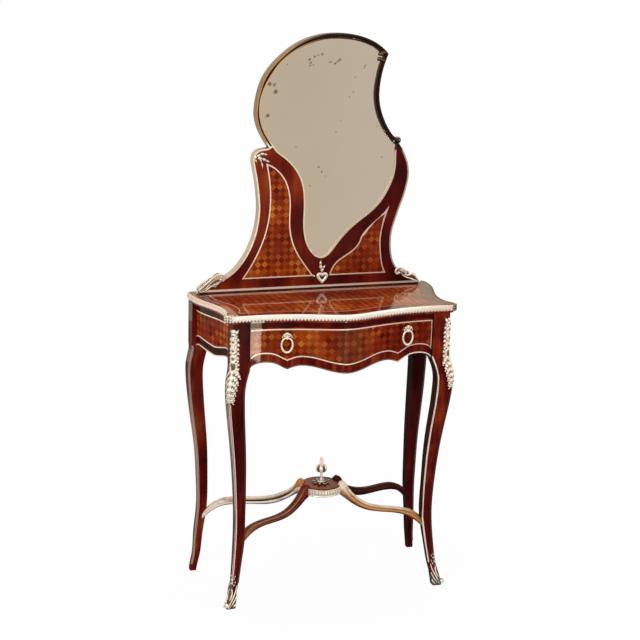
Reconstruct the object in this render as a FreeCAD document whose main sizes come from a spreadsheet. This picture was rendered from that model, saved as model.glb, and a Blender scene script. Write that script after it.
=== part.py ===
import FreeCAD, Part
import Sketcher
import math
import os

# Dressing table with a shaped mirror, one drawer, cabriole legs and a shelf stretcher.
# Millimetres, +Z up, front towards -Y, origin on the floor under the middle of the top.

V = FreeCAD.Vector

SIZES = {
    # Whole table
    "table_high": 760, "top_wide": 662, "top_deep": 334, "top_thick": 20,
    "mirror_high": 663, "gallery_half": 304,
    # Mouldings, lines and veneer
    "edge_high": 16, "edge_wide": 5, "line_wide": 3, "line_proud": 1.2, "veneer_thick": 0.6,
    "bead_wide": 4, "bead_proud": 1.5,
    "field_side": 46, "field_front": 42, "field_back": 48, "clasp_proud": 2,
    "clasp_long": 46, "clasp_deep": 30,
    # Legs: feet in from the ends of the top and out from its middle, square posts and the sway
    "front_foot_set": 47.5, "front_foot_deep": 118, "rear_foot_set": 18, "rear_foot_deep": 145,
    "front_post": 44.5, "rear_post": 39, "leg_sway": 40,
    "arris_wide": 4.5, "arris_proud": 1.3, "knee_thick": 2.6, "knee_wide": 20, "sabot_high": 62,
    "sabot_wide": 25, "toe_ball": 6,
    # Frieze
    "apron_deep": 128.5, "frieze_set": 10, "side_set": 16, "rail_thick": 18, "line_up": 19,
    "line_down": 4, "rear_rail_high": 100, "rear_rail_set": 2, "top_rail_high": 12.5,
    "top_rail_deep": 24,
    # Drawer
    "drawer_gap": 1.2, "drawer_top_gap": 0.8, "drawer_front_thick": 20, "drawer_side_in": 14,
    "drawer_side_thick": 11, "drawer_side_high": 58, "drawer_side_low": 98, "joint_gap": 0.3,
    "tongue_deep": 8, "tongue_gap": 0.1, "stop_wide": 24, "stop_high": 20,
    "drawer_bottom_thick": 5, "drawer_bottom_up": 6, "groove_deep": 5, "groove_gap": 0.2,
    "drawer_back_thick": 10, "drawer_back_gap": 6, "drawer_back_low": 4,
    "runner_thick": 11, "runner_wide": 34, "runner_hold": 4, "runner_gap": 0.5, "guide_wide": 14, "guide_high": 18,
    "kicker_wide": 28, "kicker_thick": 12,
    # Ring handles
    "handle_out": 158, "handle_shift": 8, "handle_low": 37.5, "ring_wide": 32, "ring_high": 42, "ring_bar": 4,
    "ring_thick": 4, "pin_wide": 3.2, "pin_gap": 0.1, "ring_off": 14, "eye_wide": 8.4,
    "eye_ball": 9, "shank_wide": 5, "rosette_wide": 15, "rosette_thick": 1.4, "bow_ball": 7,
    "bow_up": 8.4, "bow_side": 4.4, "nut_wide": 11, "nut_thick": 4, "bow_gap": 6,
    # Screws and dowels
    "screw_wide": 4, "screw_long": 20, "screw_head": 8, "screw_head_thick": 2.5,
    "screw_inset": 40, "hole_gap": 0.1, "dowel_wide": 8, "dowel_long": 24, "dowel_space": 150,
    # Shelf stretcher
    "shelf_high": 262, "shelf_wide": 108, "shelf_thick": 12, "shelf_step": 3, "band_high": 19,
    "band_thick": 4, "arm_wide": 20, "shelf_forward": 2, "finial_high": 73, "finial_wide": 32,
    "rosette_base_wide": 52, "rosette_base_high": 6, "rod_wide": 6,
    "rod_nut_wide": 14, "rod_nut_thick": 4,
    # Gallery and mirror
    "gallery_set": 6, "gallery_thick": 24, "glass_set": 3, "glass_thick": 4, "back_thick": 6,
    "glass_gap": 0.3, "slip_proud": 1, "base_line_up": 3.5, "base_line_high": 5,
    "base_line_proud": 3, "mount_thick": 4, "mount_proud": 2.5, "knob_wide": 18,
    "heart_out": 29, "heart_up": 29.5, "heart_wide": 32, "heart_high": 37, "heart_bar": 9,
    "stem_high": 34, "stem_wide": 13, "tip_mount_wide": 20,
}

doc = FreeCAD.newDocument("dressing_table")
sheet = doc.addObject("Spreadsheet::Sheet", "Sizes")
for row, (alias, amount) in enumerate(SIZES.items(), start=1):
    sheet.set(f"A{row}", alias)
    sheet.set(f"B{row}", str(amount))
    sheet.setAlias(f"B{row}", alias)
doc.recompute()


class SheetValues:
    """Sizes read from the sheet by their alias."""

    def __getattr__(self, alias):
        return float(sheet.get(alias))


size = SheetValues()

# Plan of the top: shares of half its width and of its depth, from the rear edge to the front
SIDE_SHARES = [(0.976, 0.0), (0.997, 0.030), (1.0, 0.090), (0.993, 0.170), (0.968, 0.285),
               (0.905, 0.475), (0.880, 0.640), (0.893, 0.740), (0.921, 0.810)]
CORNER_SHARES = [(0.921, 0.810), (0.918, 0.850), (0.885, 0.876)]
FRONT_SHARES = [(0.885, 0.876), (0.745, 0.868), (0.620, 0.869), (0.456, 0.888), (0.275, 0.931),
                (0.120, 0.980), (0.0, 1.0)]

# Depth share of the serpentine front where the drawer's sides meet it
SIDE_PLACE_SHARE = 0.867

# Lower edge of the frieze: shares of the half width or depth, and of the apron's drop
APRON_MIDDLE_SHARES = [(0.0, 1.0), (0.083, 0.985), (0.207, 0.934), (0.328, 0.872), (0.415, 0.846),
                       (0.490, 0.845), (0.552, 0.873), (0.608, 0.915)]
APRON_LOBE_SHARES = [(0.608, 0.915), (0.660, 0.869), (0.734, 0.798), (0.813, 0.770),
                     (0.892, 0.774), (0.954, 0.805), (1.0, 0.872)]
SIDE_APRON_SHARES = [(0.0, 0.840), (0.061, 0.808), (0.240, 0.830), (0.388, 0.868), (0.464, 0.883),
                     (0.577, 0.856), (0.700, 0.812), (0.800, 0.787), (0.908, 0.806), (1.0, 0.850)]

# Cabriole legs: shares of the height, of the sway outwards from the foot, and of the post
FRONT_LEG_SHARES = [(0.0, -0.03, 0.39), (0.027, -0.13, 0.39), (0.068, -0.40, 0.39),
                    (0.146, -0.70, 0.44), (0.253, -1.0, 0.55), (0.365, -0.975, 0.571),
                    (0.473, -0.85, 0.652), (0.588, -0.60, 0.742), (0.676, -0.35, 0.81),
                    (0.730, -0.24, 0.854), (0.777, -0.225, 0.888), (0.818, -0.44, 0.94),
                    (0.849, -0.675, 1.0)]
REAR_LEG_SHARES = [(0.0, 0.0, 0.42), (0.027, -0.075, 0.435), (0.068, -0.24, 0.46),
                   (0.146, -0.375, 0.525), (0.253, -0.625, 0.60), (0.365, -0.625, 0.667),
                   (0.473, -0.525, 0.744), (0.588, -0.26, 0.86), (0.676, -0.075, 0.923),
                   (0.730, 0.0, 0.95), (0.777, -0.025, 0.975), (0.818, -0.2, 0.99),
                   (0.849, -0.225, 1.0)]
# Width of the knee mount on each face, as a share of its full width, by share of leg height
KNEE_WIDTH_SHARES = {0.730: 0.25, 0.777: 0.85, 0.818: 1.0, 0.849: 0.9}
KNEE_TOP_SHARES = [(0.849, 0.9), (0.93, 0.85), (0.995, 0.75)]
SABOT_SHARES = [(0.0, -0.03, 1.0), (0.16, -0.04, 1.02), (0.4, -0.13, 0.93), (0.72, -0.31, 0.86),
                (1.0, -0.47, 0.84)]

# Stretcher arms from the shelf to the leg: shares of their reach and of the shelf's height
FRONT_ARM_TOP_SHARES = [(0.155, 0.97), (0.175, 1.02), (0.205, 1.025), (0.245, 0.985),
                        (0.315, 0.894), (0.428, 0.814), (0.598, 0.782), (0.797, 0.771),
                        (0.888, 0.744), (0.99, 0.654)]
FRONT_ARM_LOW_SHARES = [(0.99, 0.581), (0.88, 0.674), (0.797, 0.71), (0.598, 0.729), (0.409, 0.752),
                        (0.29, 0.813), (0.205, 0.876), (0.155, 0.911)]
REAR_ARM_TOP_SHARES = [(0.136, 0.97), (0.15, 1.025), (0.18, 1.035), (0.215, 0.98), (0.283, 0.908),
                       (0.41, 0.847), (0.6, 0.82), (0.807, 0.801), (0.886, 0.76), (0.99, 0.645)]
REAR_ARM_LOW_SHARES = [(0.99, 0.571), (0.87, 0.7), (0.755, 0.742), (0.56, 0.755), (0.4, 0.77),
                       (0.28, 0.828), (0.19, 0.889), (0.136, 0.911)]
FINIAL_SHARES = [(0.19, 0.0), (0.17, 0.25), (0.24, 0.31), (0.70, 0.36), (0.98, 0.45),
                 (0.96, 0.53), (0.62, 0.63), (0.26, 0.68), (0.44, 0.74), (0.43, 0.79),
                 (0.20, 0.84), (0.30, 0.90), (0.22, 0.96), (0.0, 1.0)]

# Mirror and gallery: shares of half the gallery's base and of the height over the top
MIRROR_ARC_SHARES = [(0.638, 0.92), (0.563, 0.951), (0.449, 0.978), (0.339, 0.992), (0.211, 0.998),
                     (0.098, 0.996), (-0.026, 0.985), (-0.141, 0.965), (-0.243, 0.936),
                     (-0.331, 0.902), (-0.407, 0.864), (-0.465, 0.822), (-0.501, 0.775),
                     (-0.52, 0.73), (-0.524, 0.684), (-0.501, 0.639), (-0.457, 0.598),
                     (-0.405, 0.562)]
MIRROR_HOLLOW_SHARES = [(0.763, 0.582), (0.72, 0.596), (0.661, 0.63), (0.6, 0.686), (0.569, 0.744),
                        (0.567, 0.781), (0.576, 0.821), (0.602, 0.875), (0.638, 0.92)]
GLASS_ARC_SHARES = [(0.605, 0.908), (0.551, 0.937), (0.439, 0.964), (0.318, 0.978), (0.195, 0.983),
                    (0.073, 0.981), (-0.043, 0.968), (-0.151, 0.947), (-0.247, 0.919),
                    (-0.331, 0.885), (-0.395, 0.846), (-0.446, 0.807), (-0.483, 0.765),
                    (-0.5, 0.722), (-0.496, 0.679), (-0.47, 0.636), (-0.426, 0.598),
                    (-0.378, 0.566), (-0.342, 0.545), (-0.296, 0.529), (-0.217, 0.499),
                    (-0.153, 0.462), (-0.11, 0.419), (-0.09, 0.367), (-0.087, 0.314),
                    (-0.089, 0.262), (-0.076, 0.21), (-0.039, 0.164), (0.013, 0.134), (0.076, 0.12),
                    (0.135, 0.128), (0.191, 0.154), (0.26, 0.194), (0.339, 0.232), (0.444, 0.27),
                    (0.539, 0.303), (0.622, 0.342), (0.684, 0.389), (0.727, 0.437), (0.743, 0.483),
                    (0.743, 0.528), (0.753, 0.567)]
GLASS_HOLLOW_SHARES = [(0.753, 0.567), (0.694, 0.588), (0.632, 0.625), (0.569, 0.682),
                       (0.539, 0.738), (0.535, 0.782), (0.546, 0.822), (0.572, 0.876),
                       (0.605, 0.908)]
GALLERY_LEFT_SHARES = [(-0.391, 0.569), (-0.424, 0.559), (-0.464, 0.557), (-0.503, 0.551),
                       (-0.533, 0.537), (-0.544, 0.519), (-0.538, 0.492), (-0.518, 0.449),
                       (-0.503, 0.407), (-0.492, 0.362), (-0.488, 0.317), (-0.495, 0.278),
                       (-0.51, 0.24), (-0.535, 0.201), (-0.572, 0.161), (-0.623, 0.122),
                       (-0.694, 0.084), (-0.822, 0.047), (-1.0, 0.011)]
GALLERY_RIGHT_SHARES = [(1.0, 0.011), (0.842, 0.045), (0.753, 0.094), (0.729, 0.136),
                        (0.722, 0.181), (0.73, 0.22), (0.757, 0.265), (0.791, 0.312),
                        (0.826, 0.356), (0.852, 0.4), (0.867, 0.445), (0.859, 0.483),
                        (0.826, 0.525), (0.766, 0.569)]
LEFT_FIELD_OUTER_SHARES = [(-0.428, 0.501), (-0.400, 0.434), (-0.389, 0.363), (-0.398, 0.294),
                           (-0.426, 0.231), (-0.477, 0.167), (-0.548, 0.104), (-0.625, 0.050)]
LEFT_FIELD_INNER_SHARES = [(0.016, 0.050), (-0.071, 0.103), (-0.143, 0.154), (-0.188, 0.208),
                           (-0.206, 0.268), (-0.204, 0.330), (-0.217, 0.389), (-0.253, 0.434),
                           (-0.322, 0.474), (-0.428, 0.501)]
RIGHT_FIELD_LOW_SHARES = [(0.161, 0.050), (0.178, 0.075), (0.224, 0.104), (0.319, 0.133),
                          (0.398, 0.161), (0.441, 0.198)]
RIGHT_FIELD_HIGH_SHARES = [(0.441, 0.198), (0.536, 0.250), (0.632, 0.288), (0.697, 0.323)]
RIGHT_FIELD_OUTER_SHARES = [(0.697, 0.323), (0.671, 0.287), (0.643, 0.243), (0.627, 0.193),
                            (0.633, 0.133), (0.653, 0.083), (0.683, 0.050)]
ACANTHUS_SHARES = [(0.765, 0.052), (0.778, 0.068), (0.810, 0.073), (0.850, 0.060),
                   (0.905, 0.045), (0.965, 0.033), (1.015, 0.012), (1.025, 0.0)]
ACANTHUS_HEEL_SHARES = [(0.80, 0.0), (0.765, 0.052)]
LEAF_SHARES = [(-0.530, 0.545), (-0.480, 0.545), (-0.455, 0.528), (-0.435, 0.508),
               (-0.470, 0.512), (-0.515, 0.515), (-0.530, 0.545)]
MIRROR_TIP_SHARE = (0.585, 0.895)
KNOB_SHARE = (0.775, 0.586)
# Half outline of the heart ring, from its point round to the cleft, as shares of width and height
HEART_SHARES = [(0.0, 0.0), (0.30, 0.22), (0.48, 0.52), (0.46, 0.82), (0.24, 0.98), (0.0, 0.90)]
HEART_HOLE_SHARE = 0.50
STEM_START_SHARE = 0.78
STEM_SHARES = [(0.0, 0.0), (0.20, 0.15), (0.5, 0.45), (0.28, 0.62), (0.20, 0.85), (0.0, 1.0)]

# Heights and depths that several pieces share
UNDERSIDE = size.table_high - size.top_thick
LEG_HIGH = UNDERSIDE
REAR_EDGE = size.top_deep / 2
GALLERY_BACK = REAR_EDGE - size.gallery_set
GALLERY_FRONT = GALLERY_BACK - size.gallery_thick
DIAGONAL = math.sqrt(0.5)
FRONT_FOOT = size.top_wide / 2 - size.front_foot_set
REAR_FOOT = size.top_wide / 2 - size.rear_foot_set
FRONT_REACH = FRONT_FOOT + FRONT_LEG_SHARES[-1][1] * size.leg_sway * DIAGONAL
FRONT_POST_Y = -size.front_foot_deep - FRONT_LEG_SHARES[-1][1] * size.leg_sway * DIAGONAL
REAR_REACH = REAR_FOOT + REAR_LEG_SHARES[-1][1] * size.leg_sway * DIAGONAL
REAR_POST_Y = size.rear_foot_deep + REAR_LEG_SHARES[-1][1] * size.leg_sway * DIAGONAL
BAY_HALF = FRONT_REACH - size.front_post / 2
BAY_FRONT = FRONT_POST_Y + size.front_post / 2
RAIL_BACK = REAR_POST_Y + size.rear_post / 2 - size.rear_rail_set
RAIL_FRONT = RAIL_BACK - size.rail_thick
DRAWER_HALF = BAY_HALF - size.drawer_gap
DRAWER_TOP = UNDERSIDE - size.top_rail_high - size.drawer_top_gap
DRAWER_END = RAIL_FRONT - size.drawer_back_gap
FRONT_BACK = REAR_EDGE - SIDE_PLACE_SHARE * (size.top_deep - size.frieze_set
                                             - size.drawer_front_thick)
SIDE_FRONT = FRONT_BACK - size.tongue_deep
SIDE_LOW = UNDERSIDE - size.drawer_side_low + size.runner_thick + size.runner_gap
BOTTOM_LOW = SIDE_LOW + size.drawer_bottom_up
KICKER_FRONT = BAY_FRONT + size.top_rail_deep / 4

pieces = {}


def keep(label, shape):
    """Make a named piece from a finished shape."""
    piece = doc.addObject("Part::Feature", label)
    piece.Label = label
    piece.Shape = shape
    pieces[label] = piece
    return shape


def curve(points):
    """Edge through plane points: a line through two, else a spline."""
    spots = [V(u, v, 0) for u, v in points]
    if len(spots) == 2:
        return Part.makeLine(*spots)
    spline = Part.BSplineCurve()
    spline.interpolate(spots)
    return spline.toShape()


def face(stretches):
    """Face inside stretches of points that follow each other and close."""
    return Part.Face(Part.Wire([curve(points) for points in stretches]))


def plan_slab(shape, low, high):
    """Solid from a plan face, between two heights."""
    flat = shape.copy()
    flat.translate(V(0, 0, low))
    return flat.extrude(V(0, 0, high - low))


def front_slab(shape, front, back):
    """Solid from a face drawn as seen from the front, between two depths."""
    flat = shape.copy()
    flat.rotate(V(0, 0, 0), V(1, 0, 0), 90)
    flat.translate(V(0, front, 0))
    return flat.extrude(V(0, back - front, 0))


def side_slab(shape, left, right):
    """Solid from a face drawn in depth and height, between two widths."""
    flat = shape.copy()
    flat.rotate(V(0, 0, 0), V(1, 1, 1), 120)
    flat.translate(V(left, 0, 0))
    return flat.extrude(V(right - left, 0, 0))


def mirrored(shape):
    return shape.mirror(V(0, 0, 0), V(1, 0, 0))


def pair(shape):
    """The right piece and its mirror image on the left."""
    return Part.makeCompound([shape, mirrored(shape)])


def inset(stretches, distance):
    """Stretches moved inwards along their normals, with mitred corners."""
    corners = [point for points in stretches for point in points[:-1]]
    area = sum(a[0] * b[1] - a[1] * b[0] for a, b in zip(corners, corners[1:] + corners[:1]))
    turn = 1 if area > 0 else -1
    normals = []
    for points in stretches:
        edge = curve(points)
        normals.append([])
        for u, v in points:
            along = edge.tangentAt(edge.Curve.parameter(V(u, v, 0)))
            normals[-1].append((-along.y * turn, along.x * turn))
    moved = []
    for index, points in enumerate(stretches):
        before = normals[index - 1][-1]
        after = normals[(index + 1) % len(stretches)][0]
        line = [(u + n * distance, v + m * distance)
                for (u, v), (n, m) in zip(points, normals[index])]
        line[0] = mitre(points[0], before, normals[index][0], distance)
        line[-1] = mitre(points[-1], normals[index][-1], after, distance)
        moved.append(line)
    return moved


def mitre(point, first, second, distance):
    """Corner where two edges meet after both have moved by the distance."""
    spread = 1 + first[0] * second[0] + first[1] * second[1]
    return (point[0] + (first[0] + second[0]) * distance / spread,
            point[1] + (first[1] + second[1]) * distance / spread)


def mirror_stretch(points):
    """The same stretch on the other side, run backwards."""
    return [(-u, v) for u, v in reversed(points)]


def both_sides(points):
    """A stretch from the side to the middle, carried on to the other side."""
    return points + mirror_stretch(points)[1:]


def top_stretches(side_in, back_in, front_in):
    """Outline of the top, drawn in at the sides, back and front."""
    half = size.top_wide / 2 - side_in
    rear = REAR_EDGE - back_in
    deep = size.top_deep - back_in - front_in

    def spot(share):
        return (share[0] * half, rear - share[1] * deep)

    side = [spot(share) for share in SIDE_SHARES]
    corner = [spot(share) for share in CORNER_SHARES]
    front = both_sides([spot(share) for share in FRONT_SHARES])
    rear_line = [(-side[0][0], rear), side[0]]
    return [rear_line, side, corner, front, mirror_stretch(corner), mirror_stretch(side)]


def front_band(front_in, back_in):
    """Plan face between two copies of the serpentine front."""
    half = size.top_wide / 2

    def line(amount):
        deep = size.top_deep - amount
        return both_sides([(u * half, REAR_EDGE - v * deep) for u, v in FRONT_SHARES])

    outer, inner = line(front_in), line(back_in)
    return face([outer, [outer[-1], inner[-1]], inner[::-1], [inner[0], outer[0]]])


def side_band(out_in, thick):
    """Plan face of the right side, a wall that follows the top's edge."""
    half = size.top_wide / 2 - out_in
    outer = [(u * half, REAR_EDGE - v * size.top_deep) for u, v in SIDE_SHARES]
    inner = [(x - thick, y) for x, y in outer]
    return face([outer, [outer[-1], inner[-1]], inner[::-1], [inner[0], outer[0]]])


def apron_face(up, top):
    """Drawer front seen from the front, its scalloped lower edge raised by an amount."""
    def line(shares):
        return [(u * DRAWER_HALF, UNDERSIDE - v * size.apron_deep + up) for u, v in shares]

    middle = both_sides(line(APRON_MIDDLE_SHARES)[::-1])
    lobe = line(APRON_LOBE_SHARES)
    right, left = lobe[-1], (-lobe[-1][0], lobe[-1][1])
    return face([mirror_stretch(middle), lobe, [right, (right[0], top)],
                 [(right[0], top), (left[0], top)], [(left[0], top), left],
                 mirror_stretch(lobe)])


def side_face(up, top):
    """Side rail in depth and height, its shaped lower edge raised by an amount."""
    rear = REAR_POST_Y - size.rear_post / 2
    run = rear - BAY_FRONT
    edge = [(rear - u * run, UNDERSIDE - v * size.apron_deep + up) for u, v in SIDE_APRON_SHARES]
    return face([edge, [edge[-1], (edge[-1][0], top)], [(edge[-1][0], top), (edge[0][0], top)],
                 [(edge[0][0], top), edge[0]]])


def gallery_line(shares):
    return [(u * size.gallery_half, size.table_high + v * size.mirror_high) for u, v in shares]


def front_point(out):
    """Depth of the drawer front's surface at a width, and the turn of the surface there."""
    half = size.top_wide / 2
    deep = size.top_deep - size.frieze_set
    edge = curve(both_sides([(u * half, REAR_EDGE - v * deep) for u, v in FRONT_SHARES]))
    span = abs(edge.LastParameter - edge.FirstParameter)
    low, high = edge.FirstParameter, edge.FirstParameter + span
    for _ in range(50):
        middle = (low + high) / 2
        if edge.valueAt(middle).x > out:
            low = middle
        else:
            high = middle
    along = edge.tangentAt(middle)
    return edge.valueAt(middle).y, math.degrees(math.atan2(-along.y, -along.x))


def leg_centre(shares_row, front):
    """Middle of a right leg's square section."""
    wide = FRONT_FOOT if front else REAR_FOOT
    deep = -size.front_foot_deep if front else size.rear_foot_deep
    out = shares_row[1] * size.leg_sway * DIAGONAL
    return wide + out, deep - out if front else deep + out


def square(x_low, x_high, y_low, y_high, z):
    """Rectangular wire lying at a height."""
    return Part.makePolygon([V(x_low, y_low, z), V(x_high, y_low, z), V(x_high, y_high, z),
                             V(x_low, y_high, z), V(x_low, y_low, z)])


def leg_shape(front):
    """Cabriole leg: a smooth taper through squares, under a square post."""
    shares = FRONT_LEG_SHARES if front else REAR_LEG_SHARES
    post = size.front_post if front else size.rear_post
    wires = []
    for row in shares:
        x, y = leg_centre(row, front)
        half = row[2] * post / 2
        wires.append(square(x - half, x + half, y - half, y + half, row[0] * LEG_HIGH))
    lower = Part.makeLoft(wires, True, False)
    x, y = leg_centre(shares[-1], front)
    low = shares[-1][0] * LEG_HIGH
    upper = Part.makeBox(post, post, LEG_HIGH - low, V(x - post / 2, y - post / 2, low))
    return lower.fuse(upper)


def arris_strip(front, x_side, y_side):
    """Thin bronze strip wrapped on one arris of a right leg, below its post."""
    shares = FRONT_LEG_SHARES if front else REAR_LEG_SHARES
    post = size.front_post if front else size.rear_post
    wires = []
    for row in shares[1:]:
        x, y = leg_centre(row, front)
        half = row[2] * post / 2 + size.arris_proud
        spots = []
        for middle, turn in ((x, x_side), (y, y_side)):
            outer = middle + turn * half
            spots.append(sorted((outer, outer - turn * size.arris_wide)))
        wires.append(square(*spots[0], *spots[1], row[0] * LEG_HIGH))
    return Part.makeLoft(wires, True, False)


def knee_shape():
    """Angle of bronze over the outer front arris of the right front leg."""
    below = [(row, KNEE_WIDTH_SHARES[row[0]], row[0]) for row in FRONT_LEG_SHARES
             if row[0] in KNEE_WIDTH_SHARES]
    above = [(FRONT_LEG_SHARES[-1], wide, up) for up, wide in KNEE_TOP_SHARES]
    halves = []
    for rows, straight in ((below, False), (above, True)):
        wires = []
        for row, wide, up in rows:
            x, y = leg_centre(row, True)
            half = row[2] * size.front_post / 2
            reach = wide * size.knee_wide
            wires.append(square(x + half - reach, x + half + size.knee_thick,
                                y - half - size.knee_thick, y - half + reach, up * LEG_HIGH))
        halves.append(Part.makeLoft(wires, True, straight))
    return halves[0].fuse(halves[1])


def sabot_shape():
    """Bronze shoe of the right front foot, with a rolled toe."""
    wires = []
    for up, out, wide in SABOT_SHARES:
        x, y = leg_centre((up, out, wide), True)
        half = wide * size.sabot_wide / 2
        wires.append(square(x - half, x + half, y - half, y + half, up * size.sabot_high))
    shoe = Part.makeLoft(wires, True, False)
    reach = size.sabot_wide / 2
    toe = Part.makeSphere(size.toe_ball, V(FRONT_FOOT + reach,
                                           -size.front_foot_deep - reach, size.toe_ball))
    return shoe.fuse(toe)


def make_legs():
    """Four legs with their bronze: knees, shoes and arris strips."""
    front, rear = leg_shape(True), leg_shape(False)
    knee = solid_of(knee_shape().cut(front))
    shoe = sabot_shape()
    outer = arris_strip(True, 1, -1).cut(front).cut(knee_shape()).cut(shoe)
    inner = arris_strip(True, -1, -1).cut(front).cut(shoe)
    inner = inner.cut(Part.makeBox(BAY_HALF, size.top_deep, size.table_high,
                                   V(0, -size.top_deep, 0)))
    rear_strip = arris_strip(False, 1, -1).cut(rear)
    for name, turned in (("right", lambda shape: shape), ("left", mirrored)):
        keep("leg_front_" + name, turned(front))
        keep("leg_rear_" + name, turned(rear))
    keep("knee_mounts", pair(knee))
    keep("sabots", pair(solid_of(shoe.cut(front))))
    strips = [solid_of(strip) for strip in (outer, inner, rear_strip)]
    keep("leg_beads", Part.makeCompound(strips + [mirrored(strip) for strip in strips]))


def make_side(name, turned):
    """Side rail with its parquetry and bronze lines, between front and rear legs."""
    far = size.top_wide
    rail = plan_slab(side_band(size.side_set, size.rail_thick), 0, UNDERSIDE)
    rail = rail.common(side_slab(side_face(0, UNDERSIDE), 0, far))
    keep("side_rail_" + name, turned(rail))
    high_line = DRAWER_TOP - size.line_down
    veneer = plan_slab(side_band(size.side_set - size.veneer_thick, size.rail_thick), 0, UNDERSIDE)
    veneer = veneer.cut(plan_slab(side_band(size.side_set, size.rail_thick), 0, UNDERSIDE))
    low_up = size.line_up + size.line_wide
    field = veneer.common(side_slab(side_face(low_up, high_line - size.line_wide), 0, far))
    proud = plan_slab(side_band(size.side_set - size.line_proud, size.rail_thick), 0, UNDERSIDE)
    proud = proud.cut(plan_slab(side_band(size.side_set, size.rail_thick), 0, UNDERSIDE))
    low_line = side_face(size.line_up, high_line).cut(side_face(low_up, high_line))
    top_line = side_face(low_up, high_line).cut(side_face(low_up, high_line - size.line_wide))
    strips = [proud.common(side_slab(strip, 0, far)) for strip in (low_line, top_line)]
    edge = plan_slab(side_band(size.side_set - size.bead_proud, size.rail_thick / 2), 0, UNDERSIDE)
    hem = side_face(-size.line_wide, UNDERSIDE).cut(side_face(0, UNDERSIDE))
    strips.append(edge.common(side_slab(hem, 0, far)))
    return turned(solid_of(field)), [turned(solid_of(strip)) for strip in strips]


def solid_of(shape):
    """The largest solid of a boolean's result."""
    return max(shape.Solids, key=lambda solid: solid.Volume)


def make_sides():
    fields, lines = [], []
    for name, turned in (("right", lambda shape: shape), ("left", mirrored)):
        field, strips = make_side(name, turned)
        fields.append(field)
        lines += strips
    keep("side_parquetry", Part.makeCompound(fields))
    keep("side_lines", Part.makeCompound(lines))


def screw_places():
    """Plan places of the screws that hold the top, on the kickers."""
    out = DRAWER_HALF - size.drawer_side_in - size.kicker_wide / 4
    return [(turn * out, y) for turn in (-1, 1)
            for y in (KICKER_FRONT + size.screw_inset, RAIL_FRONT - size.screw_inset)]


def dowel_places():
    middle = (GALLERY_FRONT + GALLERY_BACK) / 2
    return [(step * size.dowel_space, middle) for step in (-1.5, -0.5, 0.5, 1.5)]


def make_top():
    """Shaped top: board, inlaid field, line, bronze edge and corner clasps."""
    top = size.table_high
    whole = face(top_stretches(0, 0, 0))
    core = face(top_stretches(size.edge_wide, 0, size.edge_wide))
    field_in = (size.field_side, size.field_back, size.field_front)
    panel = face(top_stretches(*field_in))
    inner = face(top_stretches(*(amount + size.line_wide for amount in field_in)))
    veneer_low = top - size.veneer_thick
    moulding = plan_slab(whole.cut(core), top - size.edge_high, top)
    board = plan_slab(core, UNDERSIDE, top).cut(plan_slab(panel, veneer_low, top))
    hole = size.screw_wide / 2 + size.hole_gap
    for x, y in screw_places():
        depth = size.screw_long - size.kicker_thick + size.screw_head_thick
        board = board.cut(Part.makeCylinder(hole, depth, V(x, y, UNDERSIDE)))
    hole = size.dowel_wide / 2 + size.hole_gap
    for x, y in dowel_places():
        board = board.cut(Part.makeCylinder(hole, size.dowel_long / 2, V(x, y, top), V(0, 0, -1)))
    keep("table_top", board)
    keep("top_edge_moulding", moulding)
    keep("top_parquetry", plan_slab(inner, veneer_low, top))
    keep("top_line", plan_slab(panel.cut(inner), veneer_low, top))
    proud = face(top_stretches(-size.clasp_proud, 0, -size.clasp_proud)).cut(whole)
    clasp = plan_slab(proud, top - size.edge_high, top)
    corner_x = CORNER_SHARES[0][0] * size.top_wide / 2
    corner_y = REAR_EDGE - CORNER_SHARES[-1][1] * size.top_deep
    block = Part.makeBox(2 * size.clasp_long, 2 * size.clasp_deep, size.table_high,
                         V(corner_x - size.clasp_long, corner_y - size.clasp_deep, 0))
    clasp = clasp.common(block)
    keep("corner_clasps", pair(solid_of(clasp)))


def plain_box(label, wide, deep, high, place):
    """Rectangular piece whose sizes and place are bound to the sheet."""
    box = doc.addObject("Part::Box", label)
    box.Label = label
    for name, text in zip(("Length", "Width", "Height"), (wide, deep, high)):
        box.setExpression(name, text)
    for axis, text in zip("xyz", place):
        box.setExpression("Placement.Base." + axis, text)
    pieces[label] = box
    return box


def new_body(label, place):
    body = doc.addObject("PartDesign::Body", label)
    body.Label = label
    for axis, text in zip("xyz", place):
        body.setExpression("Placement.Base." + axis, text)
    pieces[label] = body
    return body


def new_sketch(body, role, name):
    sketch = body.newObject("Sketcher::SketchObject", body.Name + name)
    plane = next(item for item in body.Origin.OriginFeatures if item.Role == role)
    sketch.AttachmentSupport = [(plane, "")]
    sketch.MapMode = "FlatFace"
    return sketch


def hold(sketch, kind, line, end, text):
    """Bind one coordinate of a sketch point to an expression."""
    if text == "0":
        axis = -2 if kind == "DistanceX" else -1
        sketch.addConstraint(Sketcher.Constraint("PointOnObject", line, end, axis))
        return
    index = sketch.addConstraint(Sketcher.Constraint(kind, -1, 1, line, end, 1.0))
    sketch.setExpression(f"Constraints[{index}]", text)


def outline_sketch(body, role, name, corners):
    """Closed sketch with straight sides; each corner is a pair of expressions."""
    sketch = new_sketch(body, role, name)
    count = len(corners)
    spots = [V(math.cos(2 * math.pi * i / count), math.sin(2 * math.pi * i / count), 0)
             for i in range(count)]
    for i in range(count):
        sketch.addGeometry(Part.LineSegment(spots[i], spots[(i + 1) % count]), False)
    for i in range(count):
        sketch.addConstraint(Sketcher.Constraint("Coincident", i, 2, (i + 1) % count, 1))
    for i, (u, v) in enumerate(corners):
        hold(sketch, "DistanceX", i, 1, u)
        hold(sketch, "DistanceY", i, 1, v)
    return sketch


def pad(body, sketch, length, reverse=False):
    feature = body.newObject("PartDesign::Pad", body.Name + "_pad")
    feature.Profile = sketch
    feature.setExpression("Length", length)
    feature.Reversed = reverse
    body.Tip = feature
    return feature


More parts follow.
